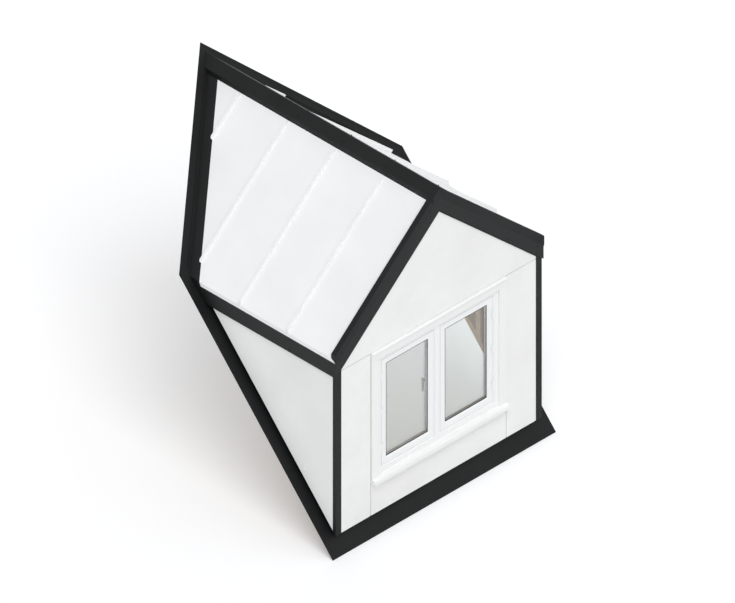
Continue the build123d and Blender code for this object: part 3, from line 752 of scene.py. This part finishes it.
def front_rivets():
    """Rivets of the front panels, round the window and up to the verge."""
    joint_x = (casing_x + panel_joint + opening_half + batten_width) / 2
    outer_x = (half_width - corner_leg + batten_x - batten_width) / 2
    lower_x = casing_x - edge_distance
    gable_x = opening_half + batten_width / 2
    foot = foot_z + edge_distance
    sill_row = opening_sill - batten_width / 2
    head_row = casing_top - edge_distance
    gable_row = (casing_top + panel_joint + opening_head + batten_width) / 2
    edge_depth = folded_metal + barge_depth + panel_joint + edge_distance
    verge_x = (roof_z(0, -edge_depth) - gable_row) / tan(dormer_pitch)
    places = []
    for x in (-joint_x, -outer_x, joint_x, outer_x):
        places += row((x, front_y, foot), (x, front_y, sill_row), rivet_spacing)
        places += row((x, front_y, sill_row), (x, front_y, head_row), rivet_spacing)
    for x, z, spacing in (
        (lower_x, sill_row, close_spacing),
        (lower_x, foot, 2 * close_spacing),
        (verge_x, gable_row, close_spacing),
    ):
        places += row((-x, front_y, z), (x, front_y, z), spacing)
    for x in (-gable_x, 0, gable_x):
        places += row((x, front_y, gable_row), (x, front_y, roof_z(x, -edge_depth)), close_spacing)
    return facing(places, -Y)


def build_panel_rivets():
    """One piece for all rivets of the white panels."""
    least_gap = 90 * MM
    spots = apart(cheek_rivets(-1) + cheek_rivets(1) + front_rivets(), least_gap)
    add_fasteners("panel_rivets", spots, rivet, white_panel, 3)


def build_joint_strips():
    """Pale coated strips on the battens, seen at the bottom of the open joints."""
    shape = bmesh.new()
    back_y = batten_y - play
    for side in (-1, 1):
        low_x, high_x = sorted((side * casing_x, side * (casing_x + panel_joint)))
        block(shape, (low_x, strip_face_y, foot_z), (high_x, back_y, casing_top))
    block(shape, (-batten_x, strip_face_y, casing_top), (batten_x, back_y, casing_top + panel_joint))
    sill_joint = opening_sill - panel_joint
    block(shape, (-casing_x, strip_face_y, sill_joint), (casing_x, back_y, opening_sill))
    add_piece("joint_strips", shape, joint_metal)


def build_eave_seals():
    """Black rubber strips in the joints under the barge boards and the fascias."""
    shape = bmesh.new()
    thick = 1.2 * MM
    top_depth = folded_metal + barge_depth + play
    low_depth = top_depth + panel_joint - 2 * play
    upper, lower = ([(x, roof_z(x, -d)) for x in (-batten_x, 0, batten_x)] for d in (top_depth, low_depth))
    extruded(shape, upper + lower[::-1], Y * (batten_y - play), X, Z, thick)
    low_z, high_z = panel_top + play, fascia_bottom - play
    back = [(seat_y(z, cladding_lift), z) for z in (low_z, high_z)]
    for side in (-1, 1):
        outline = [(batten_y, low_z), *back, (batten_y, high_z)]
        extruded(shape, outline, X * side * (batten_x + play), Y, Z, side * thick)
    add_piece("eave_seals", shape, black_rubber)


def build_foot_vents():
    """Slotted black strips that close the air gap at the foot of the cladding, and the edges beside it."""
    pitch, bar_width, edge_width, thick = 15 * MM, 6 * MM, 4 * MM, 1 * MM
    back_y, wall_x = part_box("apron_flashing")[1].y, sheathing_x + folded_metal
    gap = batten_x - wall_x
    foot, lift = foot_z - play, cladding_lift - play
    start_s = (back_y - folded_metal + cladding_lift * sin(main_pitch)) / cos(main_pitch)
    end_s = valley_s(batten_x, barge_depth + folded_metal)
    middle_end, back_end = ((y, seat_z(y, lift)) for y in (batten_y, back_y))
    batten_plate = [(batten_y, foot_z), (back_y, foot_z), back_end, middle_end]
    panel_plate = [(front_y, foot_z), (batten_y, foot_z), middle_end]
    bridge, shape = bmesh.new(), bmesh.new()
    block(bridge, (-bar_width / 2, -gap / 2, -thick), (bar_width / 2, gap / 2, 0))
    ends = [(x, batten_y + gap / 2, foot) for x in (-batten_x, batten_x)]
    spots = facing(row(*ends, pitch, pitch / 2), Z, X)
    for y in (batten_y, batten_y + gap - edge_width):
        block(shape, (-batten_x, y, foot - thick), (batten_x, y + edge_width, foot))
    for side in (-1, 1):
        ends = [seat_point(side * (batten_x - gap / 2), s, lift) for s in (start_s, end_s)]
        spots += facing(row(*ends, pitch, pitch / 2), off_main, up_main)
        for x in (wall_x, batten_x - edge_width):
            outline = oblong(side * x, side * (x + edge_width), start_s, end_s)
            extruded(shape, outline, off_main * lift, X, up_main, -thick)
        for x, outline in ((batten_x, batten_plate), (half_width, panel_plate)):
            extruded(shape, outline, X * side * (x + play), Y, Z, side * thick)
    shape.from_mesh(copies(spots, bridge, dark_sheet))
    add_piece("foot_vents", shape, dark_sheet)


# ---- dark trims: screws, rivets and the caps that close the verge trim

screw_spacing = 400 * MM
end_distance = 60 * MM
valley_distance = 70 * MM
verge_rows = {17 * MM: verge_y, 60 * MM: barge_y, 98 * MM: barge_y}
fascia_rows = (28 * MM, 95 * MM)


def build_trim_fixings():
    """Black rivets in the corner trims, and black screws in the verge trim, barge boards and fascias."""
    spots = []
    trim_z = (foot_z + 2 * edge_distance, fascia_bottom - 2 * edge_distance)
    for side, (trim_low, trim_high) in zip((-1, 1), solids("corner_trims")):
        outer_x = side * (half_width + folded_metal)
        front_x = outer_x - side * corner_leg / 2
        leg_y = (trim_low.y + trim_high.y) / 2
        spots += facing(row(*[(front_x, trim_low.y, z) for z in trim_z], close_spacing), -Y)
        spots += facing(row(*[(outer_x, leg_y, z) for z in trim_z], close_spacing), X * side)
        for depth, y in verge_rows.items():
            ends = [roof_point(side * x, y, -depth) for x in (1.5 * end_distance, fascia_x - end_distance)]
            spots += facing(row(*ends, screw_spacing), -Y)
        for height in fascia_rows:
            z = fascia_bottom + height
            ys = (batten_y + end_distance / 2, seat_y(z) - valley_distance)
            spots += facing(row(*[(side * fascia_x, y, z) for y in ys], screw_spacing), X * side)
    add_fasteners("trim_fixings", spots, trim_rivet, dark_sheet, 5)


def build_verge_caps():
    """Small plates that close the verge trim at each eave."""
    shape = bmesh.new()
    depth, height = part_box("verge_trim")[1].y - verge_y, trim_height / cos(dormer_pitch)
    plate, front_foot, back_foot = 2 * MM, -30 * MM, 2 * MM
    outline = [(0, front_foot), (depth, back_foot), (depth, height), (0, height)]
    for side in (-1, 1):
        origin = Vector((side * eave_x - plate / 2, verge_y, roof_z(eave_x)))
        extruded(shape, outline, origin, Y, Z, plate, fine_edge)
    add_piece("verge_end_caps", shape, dark_sheet)


def build_ridge_screws():
    """Hexagon screws with sealing washers along both wings of the ridge cap, two thirds of the way out."""
    spots = []
    share = 0.66
    wing_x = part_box("ridge_cap")[1].x * share
    lift = trim_height + folded_metal
    end_y = seat_y(roof_z(wing_x, lift)) - valley_distance
    for side in (-1, 1):
        ends = [roof_point(side * wing_x, y, lift) for y in (barge_y + end_distance, end_y)]
        spots += facing(row(*ends, screw_spacing), roof_normal(side))
    add_fasteners("ridge_cap_screws", spots, washer_screw, dark_sheet, 7)


# ---- roof sheets: the folded closures at the lower ends of the seams

seam_count = 4


def build_seam_ends():
    """A folded tab that closes each standing seam at the eave, on the face of the drip edge."""
    shape = bmesh.new()
    step = (rear_y - barge_y) / (seam_count + 1)
    plumb = Z / cos(dormer_pitch)
    seam_middle, tab = 2 * MM, 1.6 * MM
    half = [(10, -6), (10, 8), (8, 24), (6, 26)]
    outline = [(a * MM, b * MM) for a, b in half + [(-a, b) for a, b in half[::-1]]]
    last_y = seat_y(roof_z(eave_x)) - flange / 2
    for side in (-1, 1):
        for i in range(seam_count):
            origin = Vector((side * eave_x, barge_y + step * (i + 1) + seam_middle, roof_z(eave_x)))
            if origin.y < last_y:
                extruded(shape, outline, origin, Y, plumb, side * tab, fine_edge)
    add_piece("seam_end_tabs", shape, white_sheet)


# ---- flashings: folded edges, laps, water-check ribs and their nails, all flat on the main roof

hem_inset = 2 * MM
hem_width = 14 * MM
hem_thickness = 1.2 * MM
hem_joint = 0.5 * MM
lap_width = 60 * MM
lap_thickness = 0.9 * MM
rib_width = 6 * MM
rib_height = 4 * MM
valley_stretch = sqrt(1 + (tan(dormer_pitch) / sin(main_pitch)) ** 2)
valley_foot_s = valley_s(eave_x, folded_metal)
apron_front_s = front_y / cos(main_pitch) - flange


def valley_edge_s(x, inset):
    """How far up the main roof the outer edge of the valley flashing lies, less an inset across it."""
    return valley_s(x, folded_metal) + (flange - inset) * valley_stretch


def valley_strip(start_x, end_x, inset, width):
    """Outline of a strip beside the outer edge of the valley flashing, that far inside it."""
    return [(x, valley_edge_s(x, d)) for x, d in oblong(start_x, end_x, inset, inset + width)]


def fold(shape, outline, side, thickness=hem_thickness):
    """Adds a thin strip on the flashing's surface, mirrored for the left side."""
    points = [(side * x, s) for x, s in outline]
    extruded(shape, points, off_main * (folded_metal - 0.1 * MM), X, up_main, thickness, 0.25 * MM)


def build_flashing_folds():
    """Hems along every outer edge, lap joints, and a rib beside each valley that turns driven water back."""
    shape = bmesh.new()
    outer = flange_x - hem_inset
    inner = outer - hem_width
    front = apron_front_s + hem_inset
    back = front + hem_width
    lap_x, front_lap_x = sheathing_x + folded_metal + 4 * MM, 260 * MM
    front_lap_end, rib_inset = front + flange - 6 * MM, flange - 26 * MM
    rib_start_x, rib_end_x = eave_x - 30 * MM, 20 * MM
    lap_ss = (apron_front_s + 2 * flange, (apron_front_s + valley_foot_s) / 2, valley_foot_s - 20 * MM)
    for side in (-1, 1):
        fold(shape, oblong(inner, outer, back + hem_joint, valley_edge_s(flange_x, 0)), side)
        fold(shape, valley_strip(outer, hem_joint, hem_inset, hem_width), side)
        fold(shape, valley_strip(rib_start_x, rib_end_x, rib_inset, rib_width), side, rib_height)
        for lap_s in lap_ss:
            fold(shape, oblong(lap_x, inner, lap_s, lap_s + lap_width), side, lap_thickness)
    fold(shape, oblong(-outer, outer, front, back), 1)
    front_lap = oblong(front_lap_x, front_lap_x + lap_width, front, front_lap_end)
    fold(shape, front_lap, 1, lap_thickness)
    add_piece("flashing_folds", shape, dark_sheet)


def build_flashing_nails():
    """Broad-headed nails beside the hems, about every 285 mm."""
    spacing, inset = 285 * MM, hem_inset + hem_width + 9 * MM
    x, front_s = flange_x - inset, apron_front_s + inset
    lines = []
    for side in (-1, 1):
        lines.append([(side * x, s) for s in (apron_front_s + 3 * flange, valley_edge_s(x, 2 * inset))])
        lines.append([(side * a, valley_edge_s(a, inset)) for a in (x, 60 * MM)])
    lines.append([(-x, front_s), (x, front_s)])
    spots = []
    for line in lines:
        spots += facing(row(*[seat_point(*end, folded_metal) for end in line], spacing), off_main)
    add_fasteners("flashing_nails", spots, broad_nail, dark_sheet, 11)


# ---- window: sealed double glazing, gaskets, hinges, drainage caps and the cap over the casing

pane = 4 * MM
glass_bite = 12 * MM
sash_clearance = 3 * MM


def build_glazing():
    """Two panes to each sash, held apart by an aluminium spacer, with rubber gaskets round both faces."""
    panes, spacers, gaskets = bmesh.new(), bmesh.new(), bmesh.new()
    gasket_width, gasket_depth = 5 * MM, 2.2 * MM
    cavity, lip = Vector((MM, pane, MM)), Vector((glass_bite, 0, glass_bite))
    for low_glass, high_glass in solids("window_glass"):
        for y in (low_glass.y, high_glass.y - pane):
            block(panes, (low_glass.x, y, low_glass.z), (high_glass.x, y + pane, high_glass.z), 0.4 * MM)
        rim(spacers, low_glass + cavity, high_glass - cavity, glass_bite + 3 * MM)
        for y in (low_glass.y - gasket_depth, high_glass.y):
            near, far = low_glass + lip, high_glass - lip
            near.y, far.y = y, y + gasket_depth
            rim(gaskets, near, far, gasket_width)
    add_piece("glass_panes", panes, glass, ["window_glass"])
    add_piece("glass_spacers", spacers, handle_metal)
    add_piece("glazing_gaskets", gaskets, black_rubber)


def build_sash_seals():
    """Black weather seals in the gap round each sash, a little behind its face."""
    shape = bmesh.new()
    reach = Vector((sash_clearance - play, 0, sash_clearance - play))
    front_depth, back_depth = 6 * MM, 14 * MM
    for node in ("window_sash_left", "window_sash_right"):
        low_sash, high_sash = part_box(node)
        near, far = low_sash - reach, high_sash + reach
        near.y, far.y = low_sash.y + front_depth, low_sash.y + back_depth
        rim(shape, near, far, sash_clearance - 2 * play)
    add_piece("sash_seals", shape, black_rubber)


def build_weld_seams():
    """Low welded seams across the mitred corners: outside on the frame, and on both faces of the sashes."""
    shape = bmesh.new()
    width, rise, start = 1.6 * MM, 0.35 * MM, 2 * MM
    bars = {"window_frame": 44 * MM, "window_sash_left": 43 * MM, "window_sash_right": 43 * MM}
    for node, bar in bars.items():
        low_box, high_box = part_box(node)
        faces = [(low_box.y, 1)] if node == "window_frame" else [(low_box.y, 1), (high_box.y, -1)]
        for y, forward in faces:
            for x, across in ((low_box.x, 1), (high_box.x, -1)):
                for z, upward in ((low_box.z, 1), (high_box.z, -1)):
                    turn = Vector((-upward, across)) * width / 2 / sqrt(2)
                    near, far = (Vector((x + across * t, z + upward * t)) for t in (start, bar))
                    outline = [near + turn, near - turn, far - turn, far + turn]
                    extruded(shape, outline, Y * y, X, Z, forward * rise, 0.1 * MM)
    add_piece("weld_seams", shape, white_frame)


def hinge_shape():
    """A butt hinge for an outward-opening sash: a barrel of three knuckles between two leaves."""
    shape = bmesh.new()
    radius, leaf, length = 5 * MM, 14 * MM, 75 * MM
    lying = Matrix.Rotation(pi / 2, 4, "Y")
    for start, end in ((-0.5, -0.18), (-0.16, 0.16), (0.18, 0.5)):
        knuckle = bmesh.new()
        size = {"segments": 12, "radius1": radius, "radius2": radius, "depth": length * (end - start)}
        place = Matrix.Translation((length * (start + end) / 2, 0, 0)) @ lying
        bmesh.ops.create_cone(knuckle, cap_ends=True, matrix=place, **size)
        rims = [edge for edge in knuckle.edges if edge.calc_face_angle(0) > 1.0]
        bmesh.ops.bevel(knuckle, geom=rims, offset=0.8 * MM, segments=2, affect="EDGES")
        shape.from_mesh(shape_to_mesh(knuckle))
    for side in (-1, 1):
        y0, y1 = sorted((side * 2 * MM, side * leaf))
        block(shape, (-length / 2, y0, -1.5 * MM), (length / 2, y1, 0.7 * MM), 0.4 * MM)
    return shape


def build_hinges():
    """Three hinges at the outer edge of each sash."""
    spots, hinge_inset = [], 150 * MM
    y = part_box("window_frame")[0].y - 1 * MM
    for node, side in (("window_sash_left", -1), ("window_sash_right", 1)):
        low_sash, high_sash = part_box(node)
        x = (low_sash.x if side < 0 else high_sash.x) + side * sash_clearance / 2
        ends = [(x, y, z) for z in (low_sash.z + hinge_inset, high_sash.z - hinge_inset)]
        spots += facing(row(*ends, close_spacing), -Y, Z)
    add_piece("window_hinges", copies(spots, hinge_shape(), white_frame), white_frame)


def drain_cap_shape():
    """A hooded cap over a drainage slot."""
    shape = bmesh.new()
    outline = [(a * MM, b * MM) for a, b in ((-17, -4), (17, -4), (19, 0), (17, 5), (-17, 5), (-19, 0))]
    extruded(shape, outline, Vector(), X, Y, 3.5 * MM, 1.2 * MM)
    return shape


def build_drain_caps():
    """Four caps along the bottom rail of the window frame."""
    low_frame, high_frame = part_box("window_frame")
    z, cap_inset = low_frame.z + 22 * MM, 160 * MM
    ends = [(x, low_frame.y, z) for x in (low_frame.x + cap_inset, high_frame.x - cap_inset)]
    spots = facing(row(*ends, close_spacing), -Y, X)
    add_piece("drainage_caps", copies(spots, drain_cap_shape(), white_frame), white_frame)


def build_casing_cap():
    """A bent white strip that throws rain clear of the casing's head."""
    shape = bmesh.new()
    thick, upstand, drip = 1.5 * MM, 7.4 * MM, -9 * MM
    reach = batten_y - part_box("window_casing")[0].y + 9 * MM
    outline = [
        (0.3 * MM, upstand),
        (0.3 * MM, thick),
        (reach, -1 * MM),
        (reach, drip),
        (reach + thick, drip),
        (reach + thick, 0.8 * MM),
        (1.6 * MM + thick, 1.9 * thick),
        (1.6 * MM + thick, upstand),
    ]
    origin = Vector((casing_x, strip_face_y, casing_top + play))
    extruded(shape, outline, origin, -Y, Z, 2 * casing_x, fine_edge)
    add_piece("casing_drip_cap", shape, white_sheet)


def build_handle_screws():
    """Two screws in the base plate of each handle."""
    spots = []
    plate_height, plate_thickness, screw_drop = 130 * MM, 8 * MM, 12 * MM
    face_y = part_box("window_sash_left")[1].y + plate_thickness
    for low_handle, high_handle in solids("window_handles"):
        x = (low_handle.x + high_handle.x) / 2
        for drop in (screw_drop, plate_height - screw_drop):
            spots.append((Vector((x, face_y, high_handle.z - drop)), Y, Z))
    add_fasteners("handle_screws", spots, handle_screw, handle_metal, 17)


# ---- framing hardware: galvanised ties, bolts, coach screws and nails

rafter_ys = sorted({round(box[0].y, 4) for box in solids("common_rafters")})
upright_nodes = ["corner_posts", "king_studs", "trimmer_studs", "cripple_studs"]
tie_steel = 2 * MM


def tie_shape(side):
    """A bent rafter tie with its corner at the origin; X runs back, the plate leg is on the room's side."""
    shape = bmesh.new()
    plate_leg = [(0, -42), (38, -42), (38, -6), (22, 12), (0, 34)]
    rafter_leg = [(0, 4), (22, 30), (44, 30), (44, 78), (0, 78)]
    for leg, way, out, depth in ((plate_leg, X, 1, -side * tie_steel), (rafter_leg, Y, -side, tie_steel)):
        extruded(shape, [(out * a * MM, b * MM) for a, b in leg], Vector(), way, Z, depth, fine_edge)
    return shape


def build_rafter_ties():
    """A nailed tie at the foot of every common rafter on the wall plates; the last has it in front."""
    plate_nails = ((12, -30), (28, -30), (12, -10), (28, -12))
    rafter_nails = ((12, 66), (34, 66), (14, 46), (34, 42))
    nails = []
    for hand, name in ((-1, "left"), (1, "right")):
        spots = []
        for y in rafter_ys[1:]:
            back = -1 if y == rafter_ys[-1] else 1
            side = hand * back
            corner = Vector((side * inner_x, y + board_edge * (1 + back) / 2, plate_top))
            spots.append((corner, Z, Y * back))
            for run, up in plate_nails:
                nails.append((corner + Vector((-side * tie_steel, back * run * MM, up * MM)), X * -side, Z))
            for out, up in rafter_nails:
                nails.append((corner + Vector((side * out * MM, back * tie_steel, up * MM)), Y * back, Z))
        add_piece("rafter_ties_" + name, copies(spots, tie_shape(hand), galvanised), galvanised)
    add_fasteners("rafter_tie_nails", nails, nail, galvanised, 13)


def build_frame_bolts():
    """Bolts through collar ties and rafters, and coach screws down through the sole and sill plates."""
    spots = []
    line_depth = folded_metal + deck_board + timber / 2
    bolt_edge, least_gap = 26 * MM, 100 * MM
    for tie_low, tie_high in solids("collar_ties"):
        for z in (tie_low.z + bolt_edge, tie_high.z - bolt_edge):
            x = (roof_z(0, -line_depth) - z) / tan(dormer_pitch)
            for side_x in (-x, x):
                spots.append((Vector((side_x, tie_high.y, z)), Y, Z))
                spots.append((Vector((side_x, tie_low.y - board_edge, z)), -Y, Z))
    bay_ends = [frame_half] + [y + shift for y in stud_ys for shift in (0, board_edge)] + [rafter_ys[-1]]
    for start, end in zip(bay_ends[::2], bay_ends[1::2]):
        for share in (0.25, 0.75):
            y = start + (end - start) * share
            s = (y + board_edge * sin(main_pitch)) / cos(main_pitch)
            for side in (-1, 1):
                spots.append((seat_point(side * (inner_x + stud_x) / 2, s, board_edge), off_main, X))
    sill_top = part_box("front_sill_plate")[1].z
    feet = sorted((box[0].x, box[1].x) for node in upright_nodes for box in solids(node))
    for (_, start), (end, _) in zip(feet, feet[1:]):
        if end - start > least_gap:
            spots.append((Vector(((start + end) / 2, 0, sill_top)), Z, X))
    add_fasteners("frame_bolts", spots, coach_screw, galvanised, 19)


def build_frame_nails():
    """Nail heads at the ends of the studs, on the lintel, and where the rafters meet the ridge board."""
    spots = []
    pair = (-11 * MM, 11 * MM)
    foot_rise, head_drop, cheek_rise, cheek_drop = 22 * MM, 34 * MM, 20 * MM, 24 * MM
    ridge_depths = (51 * MM, 83 * MM, 115 * MM)
    for node in upright_nodes + ["gable_studs"]:
        for low_stud, high_stud in solids(node):
            middle_x = (low_stud.x + high_stud.x) / 2
            rows = (low_stud.z + foot_rise, high_stud.z - head_drop)
            spots += facing([Vector((middle_x + a, high_stud.y, z)) for z in rows for a in pair], Y, Z)
    for low_stud, high_stud in solids("cheek_studs"):
        side = -1 if low_stud.x < 0 else 1
        middle_y = (low_stud.y + high_stud.y) / 2
        rows = (seat_z(high_stud.y, board_edge) + cheek_rise, high_stud.z - cheek_drop)
        places = [Vector((side * inner_x, middle_y + a, z)) for z in rows for a in pair]
        spots += facing(places, X * -side, Z)
    low_lintel, high_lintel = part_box("window_lintel")
    for x in (low_lintel.x + 20 * MM, high_lintel.x - 20 * MM):
        ends = [(x, high_lintel.y, z) for z in (low_lintel.z, high_lintel.z)]
        spots += facing(row(*ends, 35 * MM, 16 * MM), Y, Z)
    ridge_nail_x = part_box("ridge_board")[1].x + 16 * MM
    for y in rafter_ys:
        for x in (-ridge_nail_x, ridge_nail_x):
            places = [roof_point(x, y + board_edge, -depth) for depth in ridge_depths]
            spots += facing(places, Y, Z)
    add_fasteners("frame_nails", spots, nail, galvanised, 23)


build_panel_rivets()
build_joint_strips()
build_eave_seals()
build_foot_vents()
build_trim_fixings()
build_verge_caps()
build_ridge_screws()
build_seam_ends()
build_flashing_folds()
build_flashing_nails()
build_glazing()
build_sash_seals()
build_weld_seams()
build_hinges()
build_drain_caps()
build_casing_cap()
build_handle_screws()
build_rafter_ties()
build_frame_bolts()
build_frame_nails()

# ---- floor, light and camera

low, high = (Vector(corner) for corner in cad_box)
middle = (low + high) / 2
view_back = Vector((-1, -1, 1)).normalized()
view_right = Z.cross(view_back).normalized()
view_up = view_back.cross(view_right)
frame_fill = 0.86
frame_aspect = 735 / 603
camera_distance, lamp_distance, floor_radius = 12, 8, 60


def seen_directly(tree):
    """1 for the camera's own rays, for gloss and through glass, and 0 for scattered light."""
    ray = add(tree, "ShaderNodeLightPath").outputs
    seen = ray["Is Camera Ray"]
    for other in ("Is Glossy Ray", "Is Transmission Ray"):
        seen = add(tree, "ShaderNodeMath", {0: seen, 1: ray[other]}, operation="MAXIMUM").outputs[0]
    return seen


def pale_floor():
    """Pale matt floor: white paper to the camera, to gloss and through glass, with the shadow kept."""
    material, tree, _ = new_material("pale_matt_floor")
    lift = add(tree, "ShaderNodeMath", {0: seen_directly(tree), 1: 0.17}, operation="MULTIPLY").outputs[0]
    glow = {"Emission Color": "#FFFFFF", "Emission Strength": lift}
    give(tree, tree.nodes["Principled BSDF"], {"Base Color": "#F0F0F0", "Roughness": 0.95, **glow})
    return material


def build_floor():
    """A round pale floor under the lowest edge of the dormer."""
    mesh = bpy.data.meshes.new("floor")
    shape = bmesh.new()
    bmesh.ops.create_circle(shape, cap_ends=True, radius=floor_radius, segments=64)
    shape.transform(Matrix.Translation((0, 0, low.z - 2 * MM)))
    shape.to_mesh(mesh)
    shape.free()
    mesh.materials.append(pale_floor())
    new_object("floor", mesh)


def build_sky():
    """A pale overcast sky, which the camera, gloss and glass see as white."""
    world = bpy.data.worlds.new("studio")
    bpy.context.scene.world = world
    world.use_nodes = True
    tree = world.node_tree
    tree.nodes.clear()
    sky = add(tree, "ShaderNodeBackground", {"Color": "#F4F6FA", "Strength": 0.6})
    paper = add(tree, "ShaderNodeBackground", {"Color": "#FFFFFF", "Strength": 1.0})
    both = add(tree, "ShaderNodeMixShader", {0: seen_directly(tree), 1: sky.outputs[0], 2: paper.outputs[0]})
    add(tree, "ShaderNodeOutputWorld", {0: both.outputs[0]})


def build_sun(name, direction, strength, softness):
    """A soft sun that shines from that direction."""
    data = bpy.data.lights.new(name, "SUN")
    data.energy = strength
    data.angle = radians(softness)
    lamp = new_object(name, data)
    lamp.location = middle + direction.normalized() * lamp_distance
    lamp.rotation_euler = direction.to_track_quat("Z", "Y").to_euler()


def build_camera():
    """Isometric view of the whole dormer, from 45 degrees to the left and 35.26 degrees up."""
    corners = [vertex.co for node in nodes.values() for vertex in node.data.vertices]
    across = [corner.dot(view_right) for corner in corners]
    upward = [corner.dot(view_up) for corner in corners]
    data = bpy.data.cameras.new("camera")
    data.type = "ORTHO"
    width, height = max(across) - min(across), max(upward) - min(upward)
    data.ortho_scale = max(width, height * frame_aspect) / frame_fill
    centre = view_right * (max(across) + min(across)) / 2 + view_up * (max(upward) + min(upward)) / 2
    camera = new_object("camera", data)
    camera.location = centre + view_back * camera_distance
    camera.rotation_euler = view_back.to_track_quat("Z", "Y").to_euler()
    bpy.context.scene.camera = camera


build_floor()
build_sky()
build_sun("key_sun", Vector((-0.35, -0.6, 0.95)), 1.5, 35)
build_sun("fill_sun", Vector((0.8, 0.5, 0.6)), 0.3, 60)
build_camera()
bpy.context.scene.view_settings.view_transform = "Standard"
